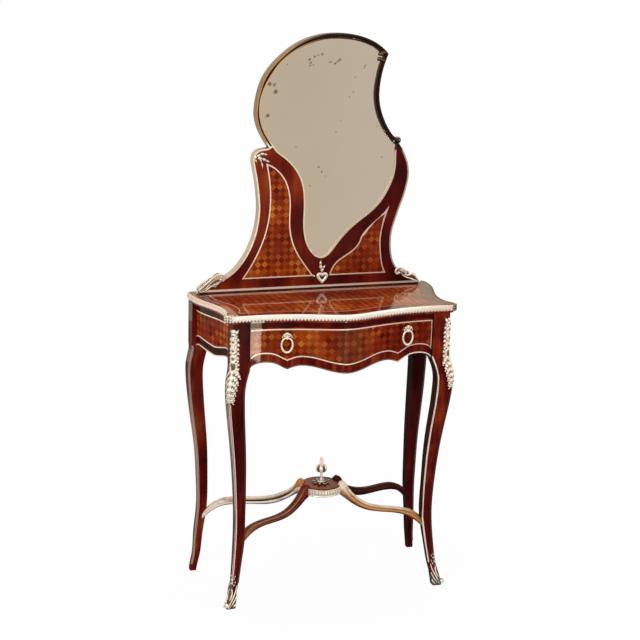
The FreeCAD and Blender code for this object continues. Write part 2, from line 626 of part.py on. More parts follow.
def circle_pocket(body, spots, wide, depth):
    """Round holes sunk from the body's own base plane upwards."""
    sketch = new_sketch(body, "XY_Plane", "_holes")
    for i, (u, v) in enumerate(spots):
        sketch.addGeometry(Part.Circle(V(1, 1 + i, 0), V(0, 0, 1), 1), False)
        hold(sketch, "DistanceX", i, 3, u)
        hold(sketch, "DistanceY", i, 3, v)
        index = sketch.addConstraint(Sketcher.Constraint("Diameter", i, 1.0))
        sketch.setExpression(f"Constraints[{index}]", wide)
    pocket = body.newObject("PartDesign::Pocket", body.Name + "_pocket")
    pocket.Profile = sketch
    pocket.setExpression("Length", depth)
    pocket.Reversed = True
    body.Tip = pocket
    return pocket


def cell(name):
    return "Sizes." + name


def number_cell(alias, amount):
    """A worked-out size kept in the sheet, so that plain pieces can be bound to it."""
    row = len(SIZES) + 1 + len(worked_out)
    worked_out.append(alias)
    sheet.set(f"A{row}", alias)
    sheet.set(f"B{row}", repr(amount))
    sheet.setAlias(f"B{row}", alias)


worked_out = []


def make_carcass():
    """Rear rail, rail over the drawer, runners, kickers and the top's screws."""
    plain_box("rear_rail", "2 * (Sizes.rear_reach - Sizes.rear_post / 2)", cell("rail_thick"),
              cell("rear_rail_high"),
              ("-(Sizes.rear_reach - Sizes.rear_post / 2)", cell("rail_front"),
               "Sizes.underside - Sizes.rear_rail_high"))
    bay = BAY_HALF
    block = Part.makeBox(2 * bay, size.top_deep, size.top_rail_high,
                         V(-bay, KICKER_FRONT - size.top_deep, UNDERSIDE - size.top_rail_high))
    band = front_band(size.frieze_set, size.top_deep - size.edge_wide)
    keep("front_top_rail", plan_slab(band, 0, UNDERSIDE).common(block))
    for name, flip in (("right", ""), ("left", "-1 * ")):
        body = new_body("drawer_runner_" + name, ("0", cell("bay_front"), cell("runner_low")))
        inside, outside = flip + cell("runner_in"), flip + "(Sizes.runner_in + Sizes.runner_wide)"
        guide = flip + "(Sizes.drawer_half - Sizes.drawer_side_in + Sizes.runner_gap)"
        guide_out = flip + "(Sizes.drawer_half - Sizes.drawer_side_in + Sizes.guide_wide)"
        high = "Sizes.runner_thick + Sizes.guide_high"
        sketch = outline_sketch(body, "XZ_Plane", "_outline", [
            (inside, "0"), (outside, "0"), (outside, cell("runner_thick")),
            (guide_out, cell("runner_thick")), (guide_out, high), (guide, high),
            (guide, cell("runner_thick")), (inside, cell("runner_thick"))])
        pad(body, sketch, "Sizes.rail_front - Sizes.bay_front", reverse=True)
        body = new_body("drawer_kicker_" + name,
                        (flip + cell("kicker_in"), cell("kicker_front"),
                         "Sizes.underside - Sizes.kicker_thick"))
        wide = flip + cell("kicker_wide")
        long = "Sizes.rail_front - Sizes.kicker_front"
        sketch = outline_sketch(body, "XY_Plane", "_outline", [
            ("0", "0"), (wide, "0"), (wide, long), ("0", long)])
        pad(body, sketch, cell("kicker_thick"))
        doc.recompute()
        middle = flip + "(Sizes.screw_out - Sizes.kicker_in)"
        circle_pocket(body, [(middle, cell("screw_inset")),
                             (middle, long + " - Sizes.screw_inset")],
                      "Sizes.screw_wide + 2 * Sizes.hole_gap", cell("kicker_thick"))
        doc.recompute()
        circle_sink(body, middle, long)
    keep("top_screws", Part.makeCompound([screw_shape(x, y) for x, y in screw_places()]))


def circle_sink(body, middle, long):
    """Recesses for the screw heads in the kicker's underside."""
    sketch_spots = [(middle, cell("screw_inset")), (middle, long + " - Sizes.screw_inset")]
    circle_pocket(body, sketch_spots, "Sizes.screw_head + 2 * Sizes.hole_gap",
                  cell("screw_head_thick"))


def screw_shape(x, y):
    """Wood screw driven upwards, its head sunk in the kicker."""
    low = UNDERSIDE - size.kicker_thick
    head = Part.makeCylinder(size.screw_head / 2, size.screw_head_thick, V(x, y, low))
    shank = Part.makeCylinder(size.screw_wide / 2, size.screw_long, V(x, y, low))
    return head.fuse(shank)


def make_drawer():
    """Drawer that carries the whole scalloped frieze on its front."""
    far = size.top_deep
    solid_band = plan_slab(front_band(size.frieze_set, size.frieze_set + size.drawer_front_thick),
                           0, UNDERSIDE)
    front = solid_band.common(front_slab(apron_face(0, DRAWER_TOP), -far, far))
    for turn in (-1, 1):
        front = front.cut(handle_bore(turn)).cut(tongue_slot(turn))
    keep("drawer_front", front)
    low_up = size.line_up + size.line_wide
    high_line = DRAWER_TOP - size.line_down

    def skin(proud, thick):
        return plan_slab(front_band(size.frieze_set - proud, size.frieze_set + thick), 0, UNDERSIDE)

    veneer = skin(size.veneer_thick, 0)
    field = veneer.common(front_slab(apron_face(low_up, high_line - size.line_wide), -far, far))
    for turn in (-1, 1):
        field = field.cut(handle_bore(turn))
    keep("drawer_parquetry", solid_of(field))
    proud = skin(size.line_proud, 0)
    low_line = apron_face(size.line_up, high_line).cut(apron_face(low_up, high_line))
    top_line = apron_face(low_up, high_line).cut(apron_face(low_up, high_line - size.line_wide))
    keep("drawer_lines", Part.makeCompound([solid_of(proud.common(front_slab(strip, -far, far)))
                                            for strip in (low_line, top_line)]))
    hem = apron_face(-size.line_wide, DRAWER_TOP).cut(apron_face(0, DRAWER_TOP))
    edge = skin(size.bead_proud, size.drawer_front_thick / 2)
    keep("drawer_apron_bead", solid_of(edge.common(front_slab(hem, -far, far))))
    make_drawer_box()


def tongue_slot(turn):
    """Slot in the back of the drawer front that takes the end of a drawer side."""
    gap = size.tongue_gap
    wide = size.drawer_side_thick + 2 * gap
    middle = turn * (DRAWER_HALF - size.drawer_side_in - size.drawer_side_thick / 2)
    return Part.makeBox(wide, size.top_deep, size.drawer_side_high + 2 * gap,
                        V(middle - wide / 2, SIDE_FRONT - gap, SIDE_LOW - gap))


def make_drawer_box():
    """Sides with grooves, back, and a bottom that follows the front."""
    for name, flip in (("right", ""), ("left", "-1 * ")):
        body = new_body("drawer_side_" + name, ("0", cell("side_front"), cell("side_low")))
        outer = flip + "(Sizes.drawer_half - Sizes.drawer_side_in)"
        inner = flip + "(Sizes.drawer_half - Sizes.drawer_side_in - Sizes.drawer_side_thick)"
        groove = flip + ("(Sizes.drawer_half - Sizes.drawer_side_in - Sizes.drawer_side_thick"
                         " + Sizes.groove_deep)")
        low = "Sizes.drawer_bottom_up"
        high = "Sizes.drawer_bottom_up + Sizes.drawer_bottom_thick + Sizes.groove_gap"
        sketch = outline_sketch(body, "XZ_Plane", "_outline", [
            (outer, "0"), (outer, cell("drawer_side_high")), (inner, cell("drawer_side_high")),
            (inner, high), (groove, high), (groove, low), (inner, low), (inner, "0")])
        pad(body, sketch, "Sizes.drawer_end - Sizes.side_front", reverse=True)
    half = "(Sizes.drawer_half - Sizes.drawer_side_in - Sizes.drawer_side_thick)"
    up = "Sizes.drawer_bottom_up + Sizes.drawer_bottom_thick + Sizes.groove_gap"
    plain_box("drawer_back", "2 * " + half, cell("drawer_back_thick"),
              "Sizes.drawer_side_high - Sizes.drawer_back_low - (" + up + ")",
              ("-1 * " + half, "Sizes.drawer_end - Sizes.drawer_back_thick",
               "Sizes.side_low + " + up))
    reach = DRAWER_HALF - size.drawer_side_in - size.drawer_side_thick + size.groove_deep
    reach -= size.groove_gap
    back_in = size.frieze_set + size.drawer_front_thick + size.joint_gap
    band = plan_slab(front_band(back_in, size.top_deep - size.edge_wide), BOTTOM_LOW,
                     BOTTOM_LOW + size.drawer_bottom_thick)
    block = Part.makeBox(2 * reach, size.top_deep, size.table_high,
                         V(-reach, DRAWER_END - size.top_deep, 0))
    keep("drawer_bottom", band.common(block))
    stop_deep = size.drawer_back_gap - size.joint_gap
    stop_x = DRAWER_HALF - size.drawer_side_in - size.stop_wide
    stop = Part.makeBox(size.stop_wide, stop_deep, size.stop_high,
                        V(stop_x, RAIL_FRONT - stop_deep, SIDE_LOW + size.drawer_bottom_up))
    keep("drawer_stops", pair(stop))


def handle_frame(turn):
    """Place of a handle: on the drawer front's surface and square to it."""
    x = turn * size.handle_out + size.handle_shift
    y, angle = front_point(x)
    return FreeCAD.Placement(V(x, y, UNDERSIDE - size.handle_low),
                             FreeCAD.Rotation(V(0, 0, 1), angle))


def handle_bore(turn):
    """Hole for a handle's shank through the drawer front."""
    long = size.drawer_front_thick + size.ring_off
    bore = Part.makeCylinder(size.shank_wide / 2 + size.hole_gap, 2 * long, V(0, -long, 0),
                             V(0, 1, 0))
    bore.Placement = handle_frame(turn).multiply(bore.Placement)
    return bore


def make_handles():
    """Ring handles: post with rosette and bow, nut behind, and a swinging oval ring."""
    nuts = []
    for name, turn in (("left", -1), ("right", 1)):
        place = handle_frame(turn)
        keep("handle_post_" + name, moved(post_shape(), place))
        keep("handle_ring_" + name, moved(ring_shape(), place))
        nut_back = size.drawer_front_thick + size.joint_gap
        nut = Part.makeCylinder(size.nut_wide / 2, size.nut_thick, V(0, nut_back, 0), V(0, 1, 0))
        bore = Part.makeCylinder(size.shank_wide / 2 + size.hole_gap, size.nut_thick,
                                 V(0, nut_back, 0), V(0, 1, 0))
        nuts.append(moved(nut.cut(bore), place))
    keep("handle_nuts", Part.makeCompound(nuts))


def moved(shape, place):
    copy = shape.copy()
    copy.Placement = place.multiply(copy.Placement)
    return copy


def post_shape():
    """Rosette, bow and eye of a handle, drawn with the pin's axis at the origin's height."""
    face_y = -size.veneer_thick
    out = -size.ring_off
    rosette = Part.makeCylinder(size.rosette_wide / 2, size.rosette_thick, V(0, face_y, 0),
                                V(0, -1, 0))
    long = size.drawer_front_thick + size.joint_gap + size.nut_thick
    shank = Part.makeCylinder(size.shank_wide / 2, long - out, V(0, out, 0), V(0, 1, 0))
    ball = Part.makeSphere(size.eye_ball / 2, V(0, out, 0))
    side = size.eye_ball
    trim = Part.makeBox(size.eye_wide, side, side, V(-size.eye_wide / 2, out - side / 2, -side / 2))
    post = rosette.fuse(shank).fuse(ball.common(trim))
    for turn in (-1, 1):
        post = post.fuse(Part.makeCylinder(size.bow_ball / 2, size.rosette_thick,
                                           V(turn * size.bow_side, face_y, size.bow_up),
                                           V(0, -1, 0)))
    hole = Part.makeCylinder(size.pin_wide / 2 + size.pin_gap, 2 * side, V(-side, out, 0),
                             V(1, 0, 0))
    return post.cut(hole)


def ring_shape():
    """Oval ring whose straight upper bar is the pin in the post's eye."""
    half, tall = size.ring_wide / 2, size.ring_high / 2
    inner_half, inner_tall = half - size.ring_bar, tall - size.ring_bar
    gap = size.bow_gap
    middle_high = (tall * math.sqrt(1 - (gap / half) ** 2)
                   + inner_tall * math.sqrt(1 - (gap / inner_half) ** 2)) / 2
    ovals = []
    for wide, high in ((half, tall), (inner_half, inner_tall)):
        oval = Part.Ellipse(V(0, 0, 0), high, wide)
        oval.rotate(FreeCAD.Placement(V(0, 0, 0), FreeCAD.Rotation(V(0, 0, 1), 90)))
        ovals.append(Part.Face(Part.Wire(oval.toShape())))
    flat = ovals[0].cut(ovals[1])
    ring = front_slab(flat, -size.ring_off - size.ring_thick / 2,
                      -size.ring_off + size.ring_thick / 2)
    ring.translate(V(0, 0, -middle_high))
    span = size.ring_wide
    window = Part.makeBox(2 * gap, span, 2 * size.ring_bar,
                          V(-gap, -size.ring_off - span / 2, -size.ring_bar))
    pin = Part.makeCylinder(size.pin_wide / 2, 2 * gap, V(-gap, -size.ring_off, 0), V(1, 0, 0))
    return ring.cut(window).fuse(pin)


def arm_angle(front):
    """Direction in plan from the shelf's middle to a right leg, and the leg's distance."""
    shares = FRONT_LEG_SHARES if front else REAR_LEG_SHARES
    x, y = leg_centre(shares[4], front)
    middle = shelf_middle()
    return math.degrees(math.atan2(y - middle, x)), math.hypot(x, y - middle)


def shelf_middle():
    return (size.rear_foot_deep - size.front_foot_deep) / 2 + size.shelf_forward


def arm_shape(front):
    """Right stretcher arm: an S curve in its own upright plane, cut to the leg."""
    angle, reach = arm_angle(front)
    top_shares = FRONT_ARM_TOP_SHARES if front else REAR_ARM_TOP_SHARES
    low_shares = FRONT_ARM_LOW_SHARES if front else REAR_ARM_LOW_SHARES
    top = [(u * reach, v * size.shelf_high) for u, v in top_shares]
    low = [(u * reach, v * size.shelf_high) for u, v in low_shares]
    flat = face([top, [top[-1], low[0]], low, [low[-1], top[0]]])
    arm = front_slab(flat, -size.arm_wide / 2, size.arm_wide / 2)
    place = FreeCAD.Placement(V(0, shelf_middle(), 0), FreeCAD.Rotation(V(0, 0, 1), angle))
    return solid_of(moved(arm, place).cut(leg_shape(front)))


def make_stretcher():
    """Four arms, a round shelf with a gadrooned band, and a finial on a rosette."""
    arms = {"front": arm_shape(True), "rear": arm_shape(False)}
    middle = shelf_middle()
    radius = size.shelf_wide / 2
    low = size.shelf_high - size.shelf_thick
    centre = V(0, middle, low)
    shelf = Part.makeCylinder(radius - size.band_thick, size.shelf_thick, centre)
    band = Part.makeCylinder(radius, size.band_high,
                             V(0, middle, size.shelf_high - size.shelf_step - size.band_high))
    band = band.cut(shelf)
    band = band.cut(Part.makeCylinder(radius - 2 * size.band_thick, size.shelf_high, V(0, middle, 0)))
    for arm in arms.values():
        for shape in (arm, mirrored(arm)):
            shelf = shelf.cut(shape)
            band = band.cut(shape)
    bore = Part.makeCylinder(size.rod_wide / 2 + size.hole_gap, size.shelf_high, V(0, middle, 0))
    for where, arm in arms.items():
        keep(f"stretcher_arm_{where}_right", arm)
        keep(f"stretcher_arm_{where}_left", mirrored(arm))
    keep("stretcher_shelf", shelf.cut(bore))
    keep("shelf_band", Part.makeCompound(band.Solids))
    base_high = size.rosette_base_high
    base = Part.makeCone(size.rosette_base_wide / 2, size.rosette_base_wide / 4, base_high,
                         V(0, middle, size.shelf_high))
    rod_bore = Part.makeCylinder(size.rod_wide / 2 + size.hole_gap, base_high,
                                 V(0, middle, size.shelf_high))
    keep("finial_rosette", base.cut(rod_bore))
    keep("finial", finial_shape(middle, size.shelf_high + base_high))
    nut_low = V(0, middle, low - size.rod_nut_thick)
    nut = Part.makeCylinder(size.rod_nut_wide / 2, size.rod_nut_thick, nut_low)
    keep("finial_nut", nut.cut(bore))


def finial_shape(y, low):
    """Turned finial whose rod goes down through the rosette and the shelf."""
    high = size.finial_high - size.rosette_base_high
    profile = [(u * size.finial_wide / 2, v * high) for u, v in FINIAL_SHARES]
    axis = [profile[-1], (0, 0)]
    turned = face([profile, axis, [(0, 0), profile[0]]])
    turned.rotate(V(0, 0, 0), V(1, 0, 0), 90)
    body = turned.revolve(V(0, 0, 0), V(0, 0, 1), 360)
    body.translate(V(0, y, low))
    long = size.rosette_base_high + size.shelf_thick + size.rod_nut_thick
    rod = Part.makeCylinder(size.rod_wide / 2, long, V(0, y, low - long))
    return body.fuse(rod)


def mirror_faces():
    """Faces of the glass, the mirror with its frame, and the gallery board."""
    glass = [gallery_line(GLASS_ARC_SHARES), gallery_line(GLASS_HOLLOW_SHARES)]
    arc, hollow = gallery_line(MIRROR_ARC_SHARES), gallery_line(MIRROR_HOLLOW_SHARES)
    outer = [arc, [arc[-1], hollow[0]], hollow]
    left, right = gallery_line(GALLERY_LEFT_SHARES), gallery_line(GALLERY_RIGHT_SHARES)
    foot_left, foot_right = (left[-1][0], size.table_high), (right[0][0], size.table_high)
    board = [left, [left[-1], foot_left], [foot_left, foot_right], [foot_right, right[0]],
             right, [right[-1], left[0]]]
    return glass, outer, board


def field_stretches():
    """Outlines of the two parquetry fields of the gallery."""
    outer, inner = gallery_line(LEFT_FIELD_OUTER_SHARES), gallery_line(LEFT_FIELD_INNER_SHARES)
    left = [outer, [outer[-1], inner[0]], inner]
    low = gallery_line(RIGHT_FIELD_LOW_SHARES)
    high = gallery_line(RIGHT_FIELD_HIGH_SHARES)
    edge = gallery_line(RIGHT_FIELD_OUTER_SHARES)
    right = [low, high, edge, [edge[-1], low[0]]]
    return left, right


def make_gallery():
    """Gallery board, mirror frame, glass and their bronze slips and mounts."""
    glass, outer, board = mirror_faces()
    opening = face(glass)
    knob = knob_shape()
    frame_face = face(outer).cut(opening)
    frame = solid_of(front_slab(frame_face, GALLERY_FRONT, GALLERY_BACK)).cut(knob)
    panel = front_slab(face(board).cut(opening), GALLERY_FRONT, GALLERY_BACK).cut(frame).cut(knob)
    hole = size.dowel_wide / 2 + size.hole_gap
    for x, y in dowel_places():
        panel = panel.cut(Part.makeCylinder(hole, size.dowel_long / 2, V(x, y, size.table_high)))
    panel = solid_of(panel)
    keep("gallery_board", panel)
    keep("mirror_frame", frame)
    keep("mirror_knob", knob)
    dowels = [Part.makeCylinder(size.dowel_wide / 2, size.dowel_long - 2 * size.joint_gap,
                                V(x, y, size.table_high - size.dowel_long / 2 + size.joint_gap))
              for x, y in dowel_places()]
    keep("gallery_dowels", Part.makeCompound(dowels))
    glass_front = GALLERY_FRONT + size.glass_set
    pane = face(inset(glass, size.glass_gap))
    keep("mirror_glass", front_slab(pane, glass_front, glass_front + size.glass_thick))
    back_front = glass_front + size.glass_thick
    keep("mirror_backboard", front_slab(pane, back_front, back_front + size.back_thick))
    slip = pane.cut(face(inset(glass, size.bead_wide)))
    slip = front_slab(slip, GALLERY_FRONT - size.slip_proud, glass_front)
    keep("mirror_slip", slip)
    make_gallery_lines(outer, board, opening, knob)
    make_mounts(slip, knob)


def make_gallery_lines(outer, board, opening, knob):
    """Parquetry fields, their lines, the edge beads and the base line."""
    fields, lines = [], []
    for stretches in field_stretches():
        inner = face(inset(stretches, size.line_wide))
        fields.append(front_slab(inner, GALLERY_FRONT - size.veneer_thick, GALLERY_FRONT))
        lines.append(front_slab(face(stretches).cut(inner), GALLERY_FRONT - size.line_proud,
                                GALLERY_FRONT))
    keep("gallery_parquetry", Part.makeCompound(fields))
    bead_front = GALLERY_FRONT - size.bead_proud
    rim = face(outer).cut(face(inset(outer, size.bead_wide))).cut(opening)
    board_rim = face(board).cut(face(inset(board, size.bead_wide))).cut(opening).cut(face(outer))
    low = size.table_high + size.base_line_up
    base_top = low + size.base_line_high
    half = size.gallery_half
    skirt = Part.makeBox(4 * half, size.top_deep, base_top - size.table_high + size.bead_wide,
                         V(-2 * half, -size.top_deep / 2, size.table_high))
    beads = front_slab(board_rim, bead_front, GALLERY_FRONT).cut(skirt).cut(knob)
    rim_bead = front_slab(rim, bead_front, GALLERY_FRONT).cut(knob)
    solids = [solid for solid in beads.Solids + rim_bead.Solids
              if solid.BoundBox.ZLength > size.mirror_high / 4]
    keep("edge_bead", Part.makeCompound(solids))
    lines.append(Part.makeBox(2 * half, size.base_line_proud, size.base_line_high,
                              V(-half, GALLERY_FRONT - size.base_line_proud, low)))
    keep("gallery_lines", Part.makeCompound(lines))


def knob_shape():
    """Ball where the hollow of the frame meets the gallery."""
    (x, z), = gallery_line([KNOB_SHARE])
    middle = (GALLERY_FRONT + GALLERY_BACK) / 2
    return Part.makeSphere(size.knob_wide / 2, V(x, middle, z))


def make_mounts(slip, knob):
    """Cast bronzes of the gallery: feet, shoulder leaf, tip mount and heart."""
    bead = pieces["edge_bead"].Shape
    board = pieces["gallery_board"].Shape
    lines = pieces["gallery_lines"].Shape
    front = GALLERY_FRONT - size.mount_proud
    leaf, heel = gallery_line(ACANTHUS_SHARES), gallery_line(ACANTHUS_HEEL_SHARES)
    foot = front_slab(face([leaf, [leaf[-1], heel[0]], heel]), front, GALLERY_BACK)
    feet = [solid_of(shape.cut(board).cut(bead).cut(lines)) for shape in (foot, mirrored(foot))]
    keep("acanthus_feet", Part.makeCompound(feet))
    thick = GALLERY_FRONT - size.mount_thick
    leaf = front_slab(face([gallery_line(LEAF_SHARES)]), thick, GALLERY_FRONT)
    keep("shoulder_leaf", solid_of(leaf.cut(lines).cut(bead)))
    (x, z), = gallery_line([MIRROR_TIP_SHARE])
    tip = Part.makeCylinder(size.tip_mount_wide / 2, size.mount_thick, V(x, thick, z), V(0, 1, 0))
    frame = pieces["mirror_frame"].Shape
    tip = tip.cut(slip).cut(bead).cut(frame)
    keep("mirror_tip_mount", solid_of(tip))
    keep("heart_mount", heart_shape(thick))


def heart_shape(front):
    """Pierced heart ring with a leafed stem above it."""
    low = size.table_high + size.heart_up - size.heart_high / 2

    def lobe(scale):
        middle = (1 - scale) / 2
        points = [(u * size.heart_wide * scale, (v * scale + middle) * size.heart_high + low)
                  for u, v in HEART_SHARES]
        return [[(size.heart_out + u, v) for u, v in points],
                [(size.heart_out + u, v) for u, v in mirror_stretch(points)]]

    ring = face(lobe(1)).cut(face(lobe(HEART_HOLE_SHARE)))
    stem_low = low + size.heart_high * STEM_START_SHARE
    half = [(u * size.stem_wide, v * size.stem_high + stem_low) for u, v in STEM_SHARES]
    stem = face([[(size.heart_out + u, v) for u, v in half],
                 [(size.heart_out + u, v) for u, v in mirror_stretch(half)]])
    back = GALLERY_FRONT
    return front_slab(ring, front, back).fuse(front_slab(stem, front, back))


for alias, amount in (
        ("rear_reach", REAR_REACH), ("rail_front", RAIL_FRONT), ("underside", UNDERSIDE),
        ("bay_front", BAY_FRONT), ("drawer_half", DRAWER_HALF), ("drawer_end", DRAWER_END),
        ("side_low", SIDE_LOW), ("kicker_front", KICKER_FRONT),
        ("runner_low", UNDERSIDE - size.drawer_side_low),
        ("runner_in", BAY_HALF + size.runner_hold - size.runner_wide),
        ("kicker_in", DRAWER_HALF - size.drawer_side_in - size.kicker_wide / 2),
        ("screw_out", DRAWER_HALF - size.drawer_side_in - size.kicker_wide / 4),
        ("side_front", SIDE_FRONT)):
    number_cell(alias, amount)
doc.recompute()

make_legs()
make_sides()
make_top()
make_carcass()
make_drawer()
make_handles()
make_stretcher()
make_gallery()
doc.recompute()

failed = [item.Label for item in doc.Objects
          if "Invalid" in item.State or "Error" in item.State]
failed += [label for label, piece in pieces.items()
           if piece.Shape.isNull() or not piece.Shape.isValid() or not piece.Shape.Solids]
if failed:
    raise RuntimeError("failed pieces: " + ", ".join(sorted(set(failed))))

os.makedirs("parts", exist_ok=True)
for label, piece in pieces.items():
    piece.Shape.exportStep(f"parts/{label}.step")

whole = FreeCAD.BoundBox()
for piece in pieces.values():
    whole.add(piece.Shape.BoundBox)
print("pieces", len(pieces), "box", [round(amount, 1) for amount in (
    whole.XMin, whole.XMax, whole.YMin, whole.YMax, whole.ZMin, whole.ZMax)])
for side in (-1, 1):
    print("pin", handle_frame(side).multVec(V(0, -size.ring_off, 0)), "turn", round(math.degrees(
        handle_frame(side).Rotation.Angle), 3))
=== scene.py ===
import math

import bmesh
import bpy
import numpy as np
from mathutils import Matrix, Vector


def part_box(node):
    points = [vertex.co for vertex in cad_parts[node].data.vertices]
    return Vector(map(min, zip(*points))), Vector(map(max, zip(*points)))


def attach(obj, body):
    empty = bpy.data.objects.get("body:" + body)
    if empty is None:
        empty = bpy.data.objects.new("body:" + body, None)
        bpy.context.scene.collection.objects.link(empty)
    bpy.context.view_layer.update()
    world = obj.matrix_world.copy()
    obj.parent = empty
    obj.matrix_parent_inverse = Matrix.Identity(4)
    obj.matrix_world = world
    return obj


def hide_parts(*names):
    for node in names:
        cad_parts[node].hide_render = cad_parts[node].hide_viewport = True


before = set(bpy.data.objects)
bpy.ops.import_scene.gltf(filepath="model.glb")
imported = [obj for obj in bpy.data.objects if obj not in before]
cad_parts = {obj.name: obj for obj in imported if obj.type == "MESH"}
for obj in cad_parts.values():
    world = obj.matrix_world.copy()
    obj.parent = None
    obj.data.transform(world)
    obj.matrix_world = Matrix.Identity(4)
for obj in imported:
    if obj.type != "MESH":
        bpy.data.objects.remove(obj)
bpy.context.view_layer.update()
scene = bpy.context.scene


# ---------------------------------------------------------------------------------------------
# Legs, frieze and plain wood. Four cabriole legs run down from square posts, with short rails
# tenoned between them. Beech covered with kingwood veneer, French polished to a deep gloss.

class Wire:
    """One output of a material's nodes. Sums, products and the like add Math nodes."""

    def __init__(self, stuff, socket):
        self.stuff, self.socket = stuff, socket

    def math(self, operation, *values, swap=False):
        terms = (values[0], self) if swap else (self, *values)
        return self.stuff.add("ShaderNodeMath", {"operation": operation}, dict(enumerate(terms)))

    def __add__(self, other): return self.math("ADD", other)
    def __radd__(self, other): return self.math("ADD", other)
    def __sub__(self, other): return self.math("SUBTRACT", other)
    def __rsub__(self, other): return self.math("SUBTRACT", other, swap=True)
    def __mul__(self, other): return self.math("MULTIPLY", other)
    def __rmul__(self, other): return self.math("MULTIPLY", other)
    def __truediv__(self, other): return self.math("DIVIDE", other)
    def __rtruediv__(self, other): return self.math("DIVIDE", other, swap=True)
    def floor(self): return self.math("FLOOR")
    def fract(self): return self.math("FRACT")
    def absolute(self): return self.math("ABSOLUTE")
    def most(self, other): return self.math("MAXIMUM", other)

    def spread(self, low, high, new_low=0.0, new_high=1.0):
        """The value carried from one range to another along a smooth step."""
        return self.stuff.add("ShaderNodeMapRange", {"interpolation_type": "SMOOTHSTEP"},
                              {"Value": self, "From Min": low, "From Max": high,
                               "To Min": new_low, "To Max": new_high})


class Finish:
    """The node tree of a new material, or of the owner that is given, filled by one method."""

    def __init__(self, name, owner=None):
        self.material = owner or bpy.data.materials.new(name)
        self.material.use_nodes = True
        self.nodes, self.links = self.material.node_tree.nodes, self.material.node_tree.links
        self.nodes.clear()

    def add(self, kind, settings, sockets, out=0):
        node = self.nodes.new(kind)
        for key, value in settings.items():
            if key == "stops":
                while len(node.color_ramp.elements) < len(value):
                    node.color_ramp.elements.new(0.5)
                for element, (place, colour) in zip(node.color_ramp.elements, value):
                    element.position, element.color = place, (*colour, 1.0)
            else:
                setattr(node, key, value)
        for key, value in sockets.items():
            if isinstance(value, Wire):
                self.links.new(value.socket, node.inputs[key])
            elif isinstance(value, tuple) and len(value) == 3 and node.inputs[key].type == "RGBA":
                node.inputs[key].default_value = (*value, 1.0)
            else:
                node.inputs[key].default_value = value
        return Wire(self, node.outputs[out]) if node.outputs else None

    def place(self):
        return self.add("ShaderNodeTexCoord", {}, {}, "Object")

    def parts(self, vector):
        return [self.add("ShaderNodeSeparateXYZ", {}, {0: vector}, k) for k in range(3)]

    def join(self, x, y):
        return self.add("ShaderNodeCombineXYZ", {}, {0: x, 1: y})

    def noise(self, vector, scale, detail=3.0, rough=0.5, twist=0.0):
        return self.add("ShaderNodeTexNoise", {}, {"Vector": vector, "Scale": scale, "Detail": detail,
                                                   "Roughness": rough, "Distortion": twist})

    def ramp(self, value, stops):
        return self.add("ShaderNodeValToRGB", {"stops": stops}, {"Fac": value})

    def mix(self, share, first, second, kind="MIX"):
        return self.add("ShaderNodeMix", {"data_type": "RGBA", "blend_type": kind},
                        {"Factor": share, 6: first, 7: second}, 2)

    def marked(self, colour, marks):
        """The colour under others, whose shares and colours marks gives for this tree."""
        for share, tone in marks(self) if marks else []:
            colour = self.mix(share, colour, tone)
        return colour

    def bump(self, height, distance, strength):
        return self.add("ShaderNodeBump", {}, {"Height": height, "Distance": distance,
                                               "Strength": strength})

    def rays(self):
        """Whether a ray comes from the camera, from a reflection, or through something clear."""
        return [self.add("ShaderNodeLightPath", {}, {}, name)
                for name in ("Is Camera Ray", "Is Glossy Ray", "Is Transmission Ray")]

    def done(self, **sockets):
        names = {key.replace("_", " "): value for key, value in sockets.items()}
        surface = self.add("ShaderNodeBsdfPrincipled", {}, names)
        self.add("ShaderNodeOutputMaterial", {}, {"Surface": surface})
        return self.material

    def polished(self, colour, rough, coat, bump, coat_rough=0.04):
        """French polish: a clear coat on wood that hardly shines of its own."""
        return self.done(Base_Color=colour, Roughness=rough, Coat_Weight=coat, Coat_Roughness=coat_rough,
                         Coat_IOR=1.33, Specular_IOR_Level=0.05, Normal=bump)


def stretch(stuff, along, across, depth, turn=(0.0, 0.0, 0.0)):
    """Object coordinates turned to the grain and scaled, so that noise draws out along it."""
    return stuff.add("ShaderNodeMapping", {}, {"Vector": stuff.place(), "Rotation": turn,
                                               "Scale": (along, across, depth)})


